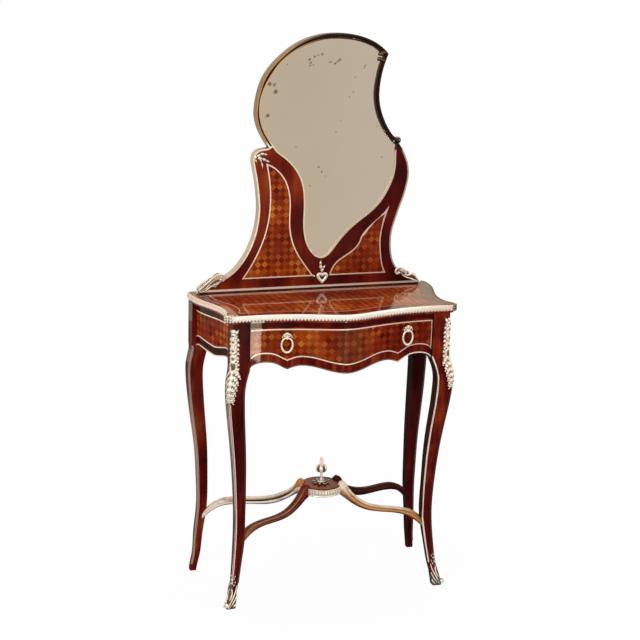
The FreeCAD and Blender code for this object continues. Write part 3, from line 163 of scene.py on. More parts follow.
def kingwood(name, scales, turn=(0.0, 0.0, 0.0), shade=1.0, warm=0.0, streak=1.0, drift=0.0,
             marks=None, keep=(1.0, 1.0), right=(0.1, 0.15), low=(-1.0, -0.9)):
    """Dark violet-brown veneer: fine streaks along the grain, broad cloudy figure, gloss rubbed in patches.
    The drift makes it paler to the left and darker to the right: a painted gradient of the light from
    the left. Marks gives places, each with a share and a colour. The polish is kept by a share on the
    faces to the front, where hands and knees rub it, and by another on the right; it fades to the floor
    below low. Right of that range the faces turned to the left are painted dark, as far as the polish
    is lost there: a painted shade."""
    wood = Finish(name)
    fine = wood.noise(stretch(wood, *scales, turn=turn), 1.0, 4.0, 0.62, 0.25)
    broad = wood.noise(stretch(wood, *(s * 0.22 for s in scales), turn=turn), 1.0, 2.0, 0.5, 1.2)
    cloud = wood.noise(wood.place(), 9.0, 2.0, 0.5)
    side, _, height = wood.parts(wood.place())
    figure = 0.5 + (fine - 0.5) * (0.52 * streak) + (broad - 0.5) * (0.5 * streak)
    figure = figure + (cloud - 0.5) * 0.5 - side * drift
    colour = wood.ramp(figure, [
        (0.3, (0.016 * shade, 0.0009 * shade, 0.0008 * shade)),
        (0.48, (0.06 * shade, 0.002 * shade, 0.0016 * shade)),
        (0.6, ((0.115 + warm) * shade, (0.0058 + 0.3 * warm) * shade, 0.0022 * shade)),
        (0.76, ((0.21 + 1.5 * warm) * shade, (0.04 + 0.45 * warm) * shade, 0.008 * shade))])
    colour = wood.marked(colour, marks)
    pores = wood.noise(stretch(wood, scales[0] * 2, scales[1] * 7, scales[2] * 7, turn=turn), 1.0, 2.0)
    wear = wood.noise(wood.place(), 22.0, 4.0, 0.6)
    across, facing, _ = wood.parts(wood.add("ShaderNodeNewGeometry", {}, {}, "Normal"))
    # Painted shade: right of the right range, faces turned to the left go nearly black.
    dark = across.spread(-0.9, -0.6, 0.8, 0.0) * side.spread(*right) * (1.0 - keep[1])
    colour = wood.mix(dark, colour, (0.008, 0.0014, 0.0012))
    polish = wear.spread(0.25, 0.9, 0.66, 0.52) * facing.spread(-0.95, -0.6, keep[0], 1.0) \
        * side.spread(*right, 1.0, keep[1]) * height.spread(*low, 0.1, 1.0)
    return wood.polished(colour, wear.spread(0.3, 0.8, 0.26, 0.44), polish,
                         wood.bump(pores, 0.0002, 0.25))


def side_sheen(node, limit, tone):
    """A board's sawn left side, between its faces and left of a limit, is painted paler: a painted reflection
    of the bright surround at a grazing angle.
    """
    (_, front, _), (_, back, _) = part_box(node)

    def places(wood):
        x, y, _ = wood.parts(wood.place())
        between = y.spread(front + 0.001, front + 0.0022)
        between = between * y.spread(back - 0.0022, back - 0.001, 1.0, 0.0)
        return [(between * x.spread(limit - 0.05, limit, 1.0, 0.0), tone)]
    return places


def painted_back_shade(wood):
    """Painted shade lies dark along the foot of the gallery and in the rear left corner."""
    x, y, _ = wood.parts(wood.place())
    foot = y.spread(0.08, 0.128, 0.0, 0.8) * x.spread(0.12, 0.2, 1.0, 0.0)
    corner = x.spread(-0.31, -0.27, 0.7, 0.0) * y.spread(-0.04, 0.06)
    return [(foot, (0.035, 0.007, 0.004)), (corner, (0.05, 0.014, 0.008))]


def cover(names, material):
    """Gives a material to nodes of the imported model."""
    for name in names:
        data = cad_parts[name].data
        data.materials.clear()
        data.materials.append(material)


slant = (0.0, math.radians(38), 0.0)
leg_veneer = kingwood("kingwood_legs", (60.0, 60.0, 7.0), slant, drift=0.1, keep=(0.0, 0.15),
                      low=(0.095, 0.14))
cover(["leg_front_left", "leg_rear_left", "leg_rear_right"], leg_veneer)
warm_leg_veneer = kingwood("kingwood_warm_leg", (34.0, 34.0, 9.0), slant, shade=1.35, warm=0.03,
                           streak=1.2, keep=(0.12, 0.1))
cover(["leg_front_right"], warm_leg_veneer)
shelf_veneer = kingwood("kingwood_shelf", (14.0, 14.0, 120.0), shade=1.4, warm=0.04, streak=0.9,
                        drift=0.3)
cover(["stretcher_shelf"], shelf_veneer)
glossy_left = (-0.19, -0.15)  # across this range of x the front of the frieze loses its polish
# The rails take a darker copy of the kingwood: painted shade under the top's overhang.
shaded_rail_veneer = kingwood("kingwood_rails_shaded", (120.0, 120.0, 12.0), shade=0.62, streak=0.6,
                       keep=(0.5, 0.05), right=glossy_left)
cover(["side_rail_left", "side_rail_right", "front_top_rail"], shaded_rail_veneer)


def oak(name):
    """Plain waxed oak: pale streaks with short dark pores."""
    wood = Finish(name)
    streak = wood.noise(stretch(wood, 4.0, 60.0, 60.0), 1.0, 4.0, 0.6, 0.3)
    pore = wood.noise(stretch(wood, 14.0, 420.0, 420.0), 1.0, 2.0, 0.5)
    colour = wood.ramp(streak * 0.75 + pore * 0.25, [(0.3, (0.13, 0.066, 0.026)),
                                                     (0.5, (0.27, 0.155, 0.07)),
                                                     (0.7, (0.4, 0.25, 0.125))])
    return wood.done(Base_Color=colour, Roughness=pore.spread(0.2, 0.8, 0.62, 0.45),
                     Normal=wood.bump(pore, 0.0003, 0.5))


plain_oak = oak("waxed_oak")
cover(["rear_rail", "drawer_runner_left", "drawer_runner_right", "drawer_kicker_left",
       "drawer_kicker_right", "drawer_stops", "drawer_side_left", "drawer_side_right",
       "drawer_back", "drawer_bottom", "gallery_dowels", "mirror_backboard"], plain_oak)


# ---------------------------------------------------------------------------------------------
# Parquetry fields: squares of tulipwood and kingwood set on point, each 13 mm on its side, laid
# with the grain of neighbours crossing, so that they shine unevenly under the polish.

def parquetry(name, plane, shade=1.0, offset=(0.0, 0.0), drift=0.0, polish=1.0, altered=(-2.0, -1.9),
              marks=None):
    """Squares on point. The cell comes from the sum and the difference of two coordinates over
    the diagonal; each cell has its own tone, and its grain runs along one of the two. The polish
    changes to a share across the worn range."""
    wood = Finish(name)
    axes, pitch = wood.parts(wood.place()), 0.0183
    u, v = axes[plane[0]] + offset[0], axes[plane[1]] + offset[1]
    a, b = (u + v) / pitch, (u - v) / pitch
    ca, cb = a.floor(), b.floor()
    even = ((ca + cb) / 2.0).fract().math("GREATER_THAN", 0.25)

    def random(first, second):
        return wood.add("ShaderNodeTexWhiteNoise", {"noise_dimensions": "2D"},
                        {"Vector": wood.join(first, second)}, "Value")

    own, other = random(ca, cb), random(cb + 17.3, ca * 1.7)
    run, cross = a * (1.0 - even) + b * even, b * (1.0 - even) + a * even
    grain = wood.noise(wood.join(run * 1.1 + own * 40.0, cross * 13.0 + other * 31.0), 1.0, 4.0, 0.6)
    cloud = wood.noise(wood.place(), 7.0, 2.0, 0.5)
    tone = even * 0.17 + own * 0.2 + grain * 0.4 + cloud.spread(0.3, 0.7, -0.08, 0.18)
    # Painted light: the drift makes the squares paler to the left, where the light falls from the left.
    tone = tone - axes[0] * drift
    colour = wood.ramp(tone, [(0.16, (0.085 * shade, 0.004 * shade, 0.0008 * shade)),
                              (0.38, (0.2 * shade, 0.0155 * shade, 0.0012 * shade)),
                              (0.56, (0.34 * shade, 0.056 * shade, 0.0035 * shade)),
                              (0.8, (0.58 * shade, 0.19 * shade, 0.025 * shade))])
    edge = (a.fract() - 0.5).absolute().most((b.fract() - 0.5).absolute())
    joint = edge.spread(0.465, 0.495)
    colour = wood.mix(joint * 0.5, colour, (0.05 * shade, 0.004 * shade, 0.001 * shade))
    wear = wood.noise(wood.place(), 26.0, 4.0, 0.6)
    coat = wear.spread(0.25, 0.9, 0.66, 0.52) * axes[0].spread(*altered, 1.0, polish)
    return wood.polished(wood.marked(colour, marks), own * 0.08 + wear.spread(0.3, 0.8, 0.24, 0.38), coat,
                         wood.bump(grain * 0.4 - joint, 0.0002, 0.3))


def drawer_reflection_bands(wood):
    """Upright bands of painted reflection: a golden one left of the middle and a dull one right of it."""
    x = wood.parts(wood.place())[0]
    return [((x + 0.078).absolute().spread(0.003, 0.026, 0.3, 0.0), (0.34, 0.085, 0.018)),
            ((x - 0.012).absolute().spread(0.02, 0.07, 0.5, 0.0), (0.08, 0.02, 0.012))]


cover(["drawer_parquetry"],
      parquetry("parquetry_drawer", (0, 2), shade=0.88, offset=(0.004, 0.002), drift=0.45, polish=0.06,
                altered=glossy_left, marks=drawer_reflection_bands))
cover(["gallery_parquetry"],
      parquetry("parquetry_gallery", (0, 2), offset=(0.001, 0.003), drift=0.32, polish=0.7))
cover(["side_parquetry"], parquetry("parquetry_sides", (1, 2), shade=0.95, polish=0.45))
glossier_top = (-0.4, -0.35)
cover(["top_parquetry"],
      parquetry("parquetry_top", (0, 1), shade=1.12, drift=0.1, polish=1.5, altered=glossier_top))
border_veneer = kingwood("kingwood_borders", (110.0, 110.0, 10.0), shade=1.3, warm=0.02, streak=0.8,
                         keep=(1.0, 0.05), right=glossy_left)
cover(["drawer_front"], border_veneer)
gallery_veneer = kingwood("kingwood_gallery", (60.0, 60.0, 7.0), shade=1.35, warm=0.02, streak=0.42,
                          drift=0.5, marks=side_sheen("gallery_board", -0.115, (0.56, 0.42, 0.3)),
                          keep=(0.5, 0.5))
cover(["gallery_board"], gallery_veneer)
top_veneer = kingwood("kingwood_top", (110.0, 10.0, 110.0), shade=1.9, warm=0.05, streak=0.7,
                      drift=0.2, marks=painted_back_shade, keep=(1.0, 1.5), right=glossier_top)
cover(["table_top"], top_veneer)


# ---------------------------------------------------------------------------------------------
# Gilt bronze lines and beads let into the wood. Drawn brass strip, water gilded, rubbed pale on
# the high parts and dull brown in the hollows; on the castings painted shade darkens the recesses too.

def gilt(name, bright=(1.0, 0.91, 0.79), dull=(0.56, 0.42, 0.26), rough=0.28, hollow=None,
         altered=None, pit=(0.12, 0.075, 0.032), metallic=0.5):
    """Gilt bronze. Wear mottles it, and the shading that an attribute carries turns it brown: patina in
    the chased recesses, with painted shade there, under the beads and behind the leaves and rods. The
    places that the sixth argument gives, each with a share and a colour, take that colour over the gold;
    on the mirror rim, the apron bead and the moulding that colour is painted shade."""
    metal = Finish(name)
    mottle = metal.noise(metal.place(), 160.0, 4.0, 0.6)
    colour = metal.mix(mottle.spread(0.35, 0.75, 0.0, 0.35), bright, dull)
    if hollow:
        depth = metal.add("ShaderNodeAttribute", {"attribute_name": "hollow"}, {}, "Fac")
        colour = metal.mix(depth.spread(*hollow, 0.0, 0.92), colour, pit)
    chasing = metal.noise(metal.place(), 520.0, 3.0, 0.5)
    return metal.done(Base_Color=metal.marked(colour, altered), Metallic=metallic,
                      Roughness=mottle.spread(0.3, 0.8, rough, rough + 0.2),
                      Normal=metal.bump(chasing, 0.0002, 0.4))


# The front legs: their middle lines at the floor, height, reach of the sway, half of the post.
foot_x, foot_y, leg_high, leg_reach, post_half = 0.2835, 0.118, 0.74, 0.04, 0.02225


def arrises(metal):
    """Of the beads on the legs' arrises only the outer one on the left and the inner one on the right
    are gold; the others are dark, and those of the rear left leg tan. The front legs' sway and half
    width come from the height by ramps. A dark joint runs down the outer left bead, and the bead's
    side is dark, most at the foot."""
    x, y, z = metal.parts(metal.place())
    heights = (0.0, 0.068, 0.146, 0.253, 0.365, 0.473, 0.588, 0.676, 0.73, 0.777, 0.818, 0.849)
    sways = (0.0, 0.28, 0.495, 0.707, 0.69, 0.6, 0.424, 0.247, 0.17, 0.16, 0.31, 0.477)
    halves = (0.39, 0.39, 0.44, 0.55, 0.571, 0.652, 0.742, 0.81, 0.854, 0.888, 0.94, 1.0)
    sway, half = (metal.ramp(z / leg_high, [(at, (share,) * 3) for at, share in zip(heights, shares)])
                  * full for shares, full in ((sways, leg_reach), (halves, post_half)))
    front = y.spread(-0.05, -0.02, 1.0, 0.0)
    left, right = x.spread(-0.02, 0.02, 1.0, 0.0), x.spread(-0.02, 0.02)
    behind = y + foot_y - sway + half
    inner_left = (x + foot_x - sway).spread(0.001, 0.004) * left
    outer_right = (x - foot_x + sway).spread(0.001, 0.004) * right
    inner_right = (x - foot_x + sway + half).spread(0.0012, 0.002) * right
    inner_right = inner_right.most(behind.spread(0.0012, 0.0022) * right)
    joint = (x + foot_x - 0.0004 - sway + half).absolute().spread(0.0006, 0.0015, 0.85, 0.0)
    foot = behind.spread(0.0004, 0.0012) * z.spread(0.16, 0.3, 1.0, 0.6)
    return [(front * left * joint, (0.1, 0.055, 0.03)),
            (front * left * foot, (0.08, 0.024, 0.014)),
            ((1.0 - front) * left * 0.75, (0.26, 0.16, 0.1)),
            (front * inner_left.most(outer_right).most(inner_right), (0.1, 0.022, 0.012)),
            ((1.0 - front) * right * 0.95, (0.05, 0.01, 0.007))]


def mirror_rim_shade(left, right):
    """Round the mirror frame painted shade darkens the gold: tan on the left at the top, nearly black at
    the top on the right, and duller on the right lower down."""
    def places(metal):
        x, _, z = metal.parts(metal.place())
        upper = (z + x * 0.07).spread(1.131, 1.141)
        return [(x.spread(0.02, 0.09) * 0.85, right), (upper, left),
                (upper * x.spread(-0.1, 0.03), (0.022, 0.012, 0.008))]
    return places


def sideways(start, end, first, last, tone):
    """A tone whose share goes from a first to a last one between two places from left to right."""
    def places(metal):
        return [(metal.parts(metal.place())[0].spread(start, end, first, last), tone)]
    return places


cover(["side_lines", "drawer_lines", "gallery_lines", "finial_nut", "handle_nuts"],
      gilt("gilt_lines", (1.0, 0.86, 0.74), (0.74, 0.56, 0.44),
           altered=sideways(-0.05, 0.28, 0.0, 0.5, (0.4, 0.2, 0.13))))
cover(["top_line"], gilt("gilt_top_line", (0.88, 0.66, 0.5), (0.6, 0.38, 0.26),
                         altered=sideways(0.05, 0.19, 0.25, 0.95, (0.22, 0.085, 0.05))))
cover(["leg_beads"], gilt("gilt_leg_beads", (1.0, 0.87, 0.79), (0.72, 0.52, 0.42), altered=arrises,
                          metallic=0.4))
# Painted shadow: the apron bead is dark brown except at its right end, as shade along the apron's lower edge.
cover(["drawer_apron_bead"],
      gilt("gilt_apron_bead", altered=sideways(0.13, 0.16, 0.9, 0.0, (0.16, 0.06, 0.03))))
cover(["edge_bead"], gilt("gilt_edge", altered=mirror_rim_shade((0.46, 0.29, 0.14), (0.42, 0.28, 0.21))))
cover(["mirror_slip"], gilt("gilt_slip", (0.9, 0.78, 0.62),
                            altered=mirror_rim_shade((0.66, 0.47, 0.28), (0.62, 0.5, 0.38))))
cast_gilt = gilt("gilt_castings", hollow=(0.3, 1.0))
deep_gilt = gilt("gilt_deep_castings", (1.0, 0.88, 0.76), (0.6, 0.38, 0.24), hollow=(0.12, 0.62),
                 pit=(0.045, 0.015, 0.007), metallic=0.35)


# ---------------------------------------------------------------------------------------------
# Screws that hold the top, driven up into it from below. Plain turned steel with fine scratches,
# never plated, their heads in round pockets.

steel = Finish("steel_screws")
scratches = steel.noise(steel.place(), 700.0, 2.0)
cover(["top_screws"], steel.done(Base_Color=(0.42, 0.41, 0.4), Metallic=1.0,
                                 Roughness=scratches.spread(0.3, 0.7, 0.3, 0.5)))


# ---------------------------------------------------------------------------------------------
# Mirror: an old silvered plate, a little foxed, behind a gilt slip. Its frame is of ebonised wood,
# cut to the plate's line, and holds it in a rebate, with an oak board behind.

# Foxing: across, height and size of each spot, in millimetres.
foxing = [
    (-19.2, 1355.3, 3.8), (-6, 1362.8, 3.4), (4.6, 1366.6, 2.4), (15.3, 1369.1, 3.6),
    (37.5, 1349, 3.8), (61.7, 1354, 4), (-8.1, 1341.5, 2.2), (131.7, 1338.8, 2.9),
    (127.9, 1332.4, 1.7), (106.7, 1310.8, 1.9), (102.5, 1272.5, 2.2), (92, 1259.8, 1.9),
    (56.6, 1170.2, 2.4), (12.8, 1080.4, 3.1), (21.4, 1067.2, 2.9), (32.7, 1056.5, 2.2),
    (-127.7, 1213.6, 5.2), (-124.1, 1294.1, 6), (-110.8, 1291.5, 4.4), (-107.8, 1273.9, 6.2),
    (-133.5, 1306.7, 2.9), (-51, 1133.4, 2.4), (-10.4, 1031.5, 2.6), (169.4, 1181.6, 1.9),
    (187.8, 1102.9, 2.2), (-77.5, 1344, 1.9), (69.4, 1198.4, 1.9), (-15, 1347, 3.4),
    (-17.2, 1340, 2.6), (50, 1345.8, 3), (56.6, 1350, 2.6)]
glass = Finish("old_mirror")
x, _, z = glass.parts(glass.place())
shake = glass.noise(glass.place(), 260.0, 3.0, 0.6)
flat = glass.join(x + (shake - 0.5) * 0.016, z + (shake - 0.5) * 0.01)
speck = glass.noise(glass.place(), 190.0, 5.0, 0.7) * 0.75 + glass.noise(glass.place(), 12.0, 2.0) * 0.35
spots = speck.spread(0.745, 0.785) * 0.6
for across, high, size in (np.array(foxing) / 1000).tolist():
    gap = glass.add("ShaderNodeVectorMath", {"operation": "DISTANCE"},
                    {0: flat, 1: (across, high, 0.0)}, "Value")
    spots = spots.most(gap.spread(size * 0.5, size * 1.25, 1.0, 0.0))
haze = glass.noise(glass.place(), 4.0, 3.0, 0.55)
silver_and_reflection = glass.mix(haze.spread(0.3, 0.7), (0.87, 0.86, 0.845), (0.925, 0.905, 0.89))
# Painted reflection: the silver turns bluer towards the right.
silver_and_reflection = glass.mix(x.spread(-0.04, 0.18, 0.0, 0.7), silver_and_reflection, (0.925, 0.94, 0.99))
cover(["mirror_glass"], glass.done(Base_Color=glass.mix(spots * 0.85, silver_and_reflection, (0.16, 0.1, 0.05)),
                                   Metallic=1.0, Roughness=spots * 0.3 + haze.spread(0.3, 0.7, 0.05, 0.09)))
cover(["mirror_frame"], kingwood("ebonised_frame", (90.0, 90.0, 9.0), shade=0.3,
                                 marks=side_sheen("mirror_frame", 0.02, (0.26, 0.13, 0.06)),
                                 keep=(0.5, 0.3)))


# ---------------------------------------------------------------------------------------------
# Knee mounts: a chute of husks, open rings and acanthus over the outer corner of each front leg.
# Cast bronze, chased, gilded and pinned on; the gilding is bright on the leaves, brown between, where patina
# and painted shade darken it.

def smooth(points, count):
    """Evenly spaced points of a smooth line through some: in each coordinate the natural cubic
    over the length of the chords, then taken at even steps of its own length."""
    known = np.asarray(points, float)
    at = np.r_[0.0, np.cumsum(np.linalg.norm(np.diff(known, axis=0), axis=1))]
    step = np.diff(at)
    size = len(known)
    matrix, target, inner = np.eye(size), np.zeros_like(known), np.arange(1, size - 1)
    matrix[inner, inner - 1], matrix[inner, inner + 1] = step[:-1], step[1:]
    matrix[inner, inner] = 2.0 * (step[:-1] + step[1:])
    slope = np.diff(known, axis=0) / step[:, None]
    target[1:-1] = 6.0 * np.diff(slope, axis=0)
    bend = np.linalg.solve(matrix, target)
    fine = np.linspace(0.0, at[-1], count * 6)
    k = np.clip(np.searchsorted(at, fine, side="right") - 1, 0, size - 2)
    left, right = (fine - at[k])[:, None], (at[k + 1] - fine)[:, None]
    gap = step[k][:, None]
    line = (bend[k] * right ** 3 + bend[k + 1] * left ** 3) / (6 * gap) \
        + (known[k] / gap - bend[k] * gap / 6) * right + (known[k + 1] / gap - bend[k + 1] * gap / 6) * left
    run = np.r_[0.0, np.cumsum(np.linalg.norm(np.diff(line, axis=0), axis=1))]
    even = np.linspace(0.0, run[-1], count)
    return np.stack([np.interp(even, run, line[:, i]) for i in range(line.shape[1])], 1)


def angles(count):
    """Evenly spaced angles, once round."""
    return np.linspace(0.0, 2 * np.pi, count, endpoint=False)


def leaf(spine, width, thick, lobes=4, lift=0.0, rows=26, columns=14):
    """Chased leaf in flat space, (along, across, out). The half width is a sine bulge notched at
    each lobe; the cross-section is a half round with a rib and slanting veins over a flat back;
    the tip rises by lift times the square of the way along."""
    line = smooth(spine, rows)
    u = np.linspace(0.0, 1.0, rows)[:, None]
    run = np.gradient(line, axis=0)
    run /= np.linalg.norm(run, axis=1)[:, None]
    bulge = np.sin(np.pi * (0.04 + 0.93 * u) ** 0.8) ** 0.65
    half = width * bulge * (1.0 - 0.34 * np.abs(np.cos(np.pi * lobes * u)) ** 3)
    angle = angles(columns)[None, :]
    across, upper = np.cos(angle), np.sin(angle)
    rib = np.exp(-(across / 0.22) ** 2)
    vein = 0.5 - 0.5 * np.cos(2 * np.pi * lobes * u + 2.6 * np.abs(across))
    relief = 0.42 + 0.3 * rib + 0.38 * vein
    height = np.where(upper > 0, thick * np.abs(upper) ** 0.6 * relief * (0.35 + 0.65 * bulge),
                      -0.25 * thick) + lift * u ** 2
    flat = np.stack([line[:, :1] - run[:, 1:2] * half * across, line[:, 1:2] + run[:, :1] * half * across,
                     height + 0 * across], -1)
    # Shading: the back and the low ground between rib and veins are dark, painted shade with patina in the
    # recesses.
    hollow = np.where(upper > 0, np.clip(1.02 - 0.75 * rib - 0.85 * vein * np.abs(upper), 0, 1), 1.0)
    return flat, hollow + 0 * u, False


def bead(centre, radii, rows=7, columns=12):
    """Flattened ball: circles of the cosine of the height angle, at its sine."""
    up = np.linspace(-0.49 * np.pi, 0.49 * np.pi, rows)[:, None]
    angle = angles(columns)[None, :]
    points = np.stack([centre[0] + radii[0] * np.cos(up) * np.cos(angle),
                       centre[1] + radii[1] * np.cos(up) * np.sin(angle),
                       centre[2] + radii[2] * np.sin(up) + 0 * angle], -1)
    # Shading: the lower half is darkened, painted shade under the bead.
    return points, np.clip(0.75 - 1.3 * np.sin(up), 0, 1) + 0 * angle, False


def wire(spine, radius, joined=False, columns=8):
    """Round rod: a circle carried along a line of points, square to its run and to the out axis."""
    line = np.asarray(spine, float)
    ahead = np.roll(line, -1, 0) - np.roll(line, 1, 0) if joined else np.gradient(line, axis=0)
    ahead /= np.linalg.norm(ahead, axis=1)[:, None]
    side = np.cross(ahead, (0.0, 0.0, 1.0))
    side /= np.linalg.norm(side, axis=1)[:, None]
    out = np.cross(side, ahead)
    angle = angles(columns)[None, :, None]
    radius = np.broadcast_to(np.asarray(radius, float), (len(line),))[:, None, None]
    points = line[:, None] + radius * (np.cos(angle) * side[:, None] + np.sin(angle) * out[:, None])
    # Shading: the side towards the ground is darkened, painted shade behind the rod.
    hollow = np.clip(0.55 - 0.9 * np.sin(angle[..., 0]), 0, 1) + np.zeros((len(line), 1))
    return points, hollow, joined


def oval(centre, radii, thick, out=1.5, count=28, columns=8):
    """Open ring: the rod above carried round an ellipse."""
    angle = angles(count)
    line = np.stack([centre[0] + radii[0] * np.cos(angle), centre[1] + radii[1] * np.sin(angle),
                     out + 0 * angle], 1)
    return wire(line, thick, True, columns)


def solid(name, shells, body, material, replaces=()):
    """One mesh of closed shells. A shell is a grid of points whose columns join round, the shading of
    each point (painted shade with patina on the castings, the key to the painted light on the arms),
    and whether its rows join too; else a cap closes each end."""
    points, shade_lists, faces, base = [], [], [], 0
    for grid, hollow, joined in shells:
        index = base + np.arange(grid.shape[0] * grid.shape[1]).reshape(grid.shape[:2])
        low, high = (index, np.roll(index, -1, 0)) if joined else (index[:-1], index[1:])
        faces += np.stack([low, np.roll(low, -1, 1), np.roll(high, -1, 1), high], -1).reshape(-1, 4).tolist()
        if not joined:
            faces += [index[0][::-1].tolist(), index[-1].tolist()]
        points.append(grid.reshape(-1, 3))
        shade_lists.append(hollow.reshape(-1))
        base += index.size
    mesh = bpy.data.meshes.new(name)
    mesh.from_pydata(np.concatenate(points).tolist(), [], faces)
    mesh.attributes.new("hollow", "FLOAT", "POINT").data.foreach_set("value", np.concatenate(shade_lists))
    shell = bmesh.new()
    shell.from_mesh(mesh)
    bmesh.ops.remove_doubles(shell, verts=shell.verts, dist=1e-7)
    bmesh.ops.recalc_face_normals(shell, faces=shell.faces)
    shell.to_mesh(mesh)
    shell.free()
    mesh.polygons.foreach_set("use_smooth", np.ones(len(mesh.polygons), bool))
    mesh.materials.append(material)
    obj = bpy.data.objects.new(name, mesh)
    scene.collection.objects.link(obj)
    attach(obj, body)
    if replaces:
        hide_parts(*replaces)
    return obj


def laid(shells, place):
    """Shells of flat space, in millimetres, carried to where they sit: place turns metres along,
    across and out into x, y and z."""
    return [(np.stack(place(*np.moveaxis(grid / 1000, -1, 0)), -1), hollow, joined)
            for grid, hollow, joined in shells]


def middle(*places):
    """Points along the middle line of flat space."""
    return [(place, 0.0) for place in places]


def pair(form, points, *shape):
    """A leaf or another form on each side of the middle line."""
    return [form([(along, side * across) for along, across in points], *shape) for side in (-1, 1)]


def shade_bead(centre, radii):
    """A bead painted dark all over: painted shade for the ground seen through an opening."""
    grid, hollow, joined = bead(centre, radii)
    return grid, np.ones_like(hollow), joined


# Shares of the leg's height, of its sway outwards and of half the post.
front_leg = np.array([(0.0, -0.03, 0.39), (0.027, -0.13, 0.39), (0.068, -0.4, 0.39), (0.146, -0.7, 0.44),
                      (0.253, -1.0, 0.55), (0.365, -0.975, 0.571), (0.473, -0.85, 0.652),
                      (0.588, -0.6, 0.742), (0.676, -0.35, 0.81), (0.73, -0.24, 0.854),
                      (0.777, -0.225, 0.888), (0.818, -0.44, 0.94), (0.849, -0.675, 1.0), (1.0, -0.675, 1.0)])
stretched = (8.0, 1.0, 1.0)
leg_lines = np.r_[smooth(front_leg[:-1] * stretched, 400) / stretched, front_leg[-1:]]


def leg_at(height):
    """The front leg's sway along x and along y, and its half width, at a height."""
    share = height / leg_high
    sway = np.interp(share, leg_lines[:, 0], leg_lines[:, 1]) * leg_reach * math.sqrt(0.5)
    return sway, np.interp(share, leg_lines[:, 0], leg_lines[:, 2]) * post_half


def on_corner(turn):
    """Lays flat space on a front leg's outer corner: along is the height, across runs round the
    corner from the front face to the side face over a small round, and out stands square to it."""
    def place(along, across, out):
        sway, half = leg_at(along)
        edge_round = 0.004
        angle = np.clip(across / (edge_round * np.pi / 2) + 0.5, 0, 1) * np.pi / 2
        past = np.sign(across) * np.maximum(np.abs(across) - edge_round * np.pi / 4, 0)
        reach, centre = edge_round + out, sway + half - edge_round
        x = foot_x + centre + np.sin(angle) * reach + np.minimum(past, 0)
        return turn * x, np.maximum(past, 0) - foot_y - centre - np.cos(angle) * reach, along
    return place


chute = [leaf(middle(727.5, 688, 643), 15, 2.8, 7, 0, 70, 22),
         leaf(middle(640, 600, 541.5), 17, 3, 7, 0, 70, 22)]
chute += pair(leaf, [(706, 0), (716, 6), (727.5, 13.5)], 5.2, 3, 2, 1, 18)
chute += [leaf(middle(725.5, 715, 701), 8.5, 4, 3, 1.5)]
chute += [oval((z, 0), (6.2, 6.2), 2) for z in (696.5, 674.5, 653.5)]
for z, w in ((703.5, 15), (691.5, 16.5), (680, 15.5), (669.5, 16.5), (658, 15)):
    chute += pair(leaf, [(z + 5, 4), (z, 9), (z - 6, w)], 5.4, 3.8, 2, 1.5, 16)
chute += [leaf(middle(z + 6, z, z - 6), 5.5, 4.2, 2, 1, 16) for z in (685.5, 664)]
# The dark beads fill the open rings: painted shade in their openings.
chute += [oval((634.5, 0), (11, 8), 2.5, 2.6), shade_bead((634.5, 0, 1.6), (9.5, 6.2, 2.2))]
chute += [shade_bead((z, 0, 3), (2.4, 2.2, 1.6)) for z in (712, 696.5, 674.5, 653.5)]
for z, w in ((648, 13), (640, 16.5), (629, 16), (622, 13)):
    chute += pair(leaf, [(z + 4, 6), (z, 11), (z - 4, w)], 5, 3.8, 2, 1.5, 14)
chute += [leaf(middle(627, 600, 570, 540.5), 11, 5.6, 6, 1.5, 44, 16)]
for z, w, drop in ((617, 21.5, 11), (604, 18.5, 13), (592, 16.5, 14),
                   (579, 13.5, 14), (566, 10.5, 13), (555, 7.5, 11)):
    chute += pair(leaf, [(z + 6, 3), (z - 1, 0.6 * w), (z - drop, w)], 6.2, 4.4, 3, 3, 18)
    chute += [bead((z - drop - 1, side * (w + 0.5), 3.5), (2, 2.2, 1.6), 5, 8) for side in (-1, 1)]
solid("knee_castings", laid(chute, on_corner(-1)) + laid(chute, on_corner(1)), "table", cast_gilt,
      ("knee_mounts",))


# ---------------------------------------------------------------------------------------------
# Sabots: leaf shoes on the front feet. Cast and gilded like the knee mounts; long leaves run down
# from both faces to a toe scrolled up at the outer corner, and one climbs the leg's arris.

def shoe(turn):
    """Sheath: rounded squares round the leg, and a top edge that rises to a point at the outer
    corner. It closes inside the leg, and is painted dark all over: painted shade for the ground
    between the leaves."""
    angle = angles(56)[None, :]
    rise = np.linspace(0.0, 1.0, 30)[:, None]
    off = np.angle(np.exp(1j * (angle + np.pi / 4)))
    z = rise * (0.03 + 0.04 * np.exp(-(off / 0.45) ** 2) + 0.004 * np.abs(np.cos(2 * off)) ** 8)
    sway, half = leg_at(z)
    thick = 0.0008 + 0.0024 * np.sqrt(1 - np.clip(rise, 0, 0.96) ** 4)
    radius = (half + thick) / (np.abs(np.cos(angle)) ** 7 + np.abs(np.sin(angle)) ** 7) ** (1 / 7)
    radius = radius * (1 + 0.08 * np.exp(-(z / 0.012) ** 2) * np.exp(-(off / 0.9) ** 2))
    east, north = radius * np.cos(angle), radius * np.sin(angle)
    grid = np.stack([turn * (foot_x + sway + east), north - foot_y - sway, z], -1)
    inside = grid[-1:] - 0.5 * np.stack([turn * east[-1:], north[-1:], 0 * z[-1:] + 0.012], -1)
    return np.concatenate([grid, inside]), np.full((31, 56), 0.9), False


def strand(points, thick, out, rows=40):
    """Long rolled leaf: the rod, thinned at both ends by a power of a sine."""
    line = smooth(points, rows)
    swell = 0.22 + 0.78 * np.sin(np.linspace(0.0, np.pi, rows)) ** 0.6
    return wire(np.c_[line, np.full(rows, out)], thick * swell, False, 12)


# The foot's outer corner, how far the toe stands out from it, and the share of a diagonal.
toe_x, toe_y, toe_out, diagonal = 0.2826, 0.1171, 0.01, 0.7071


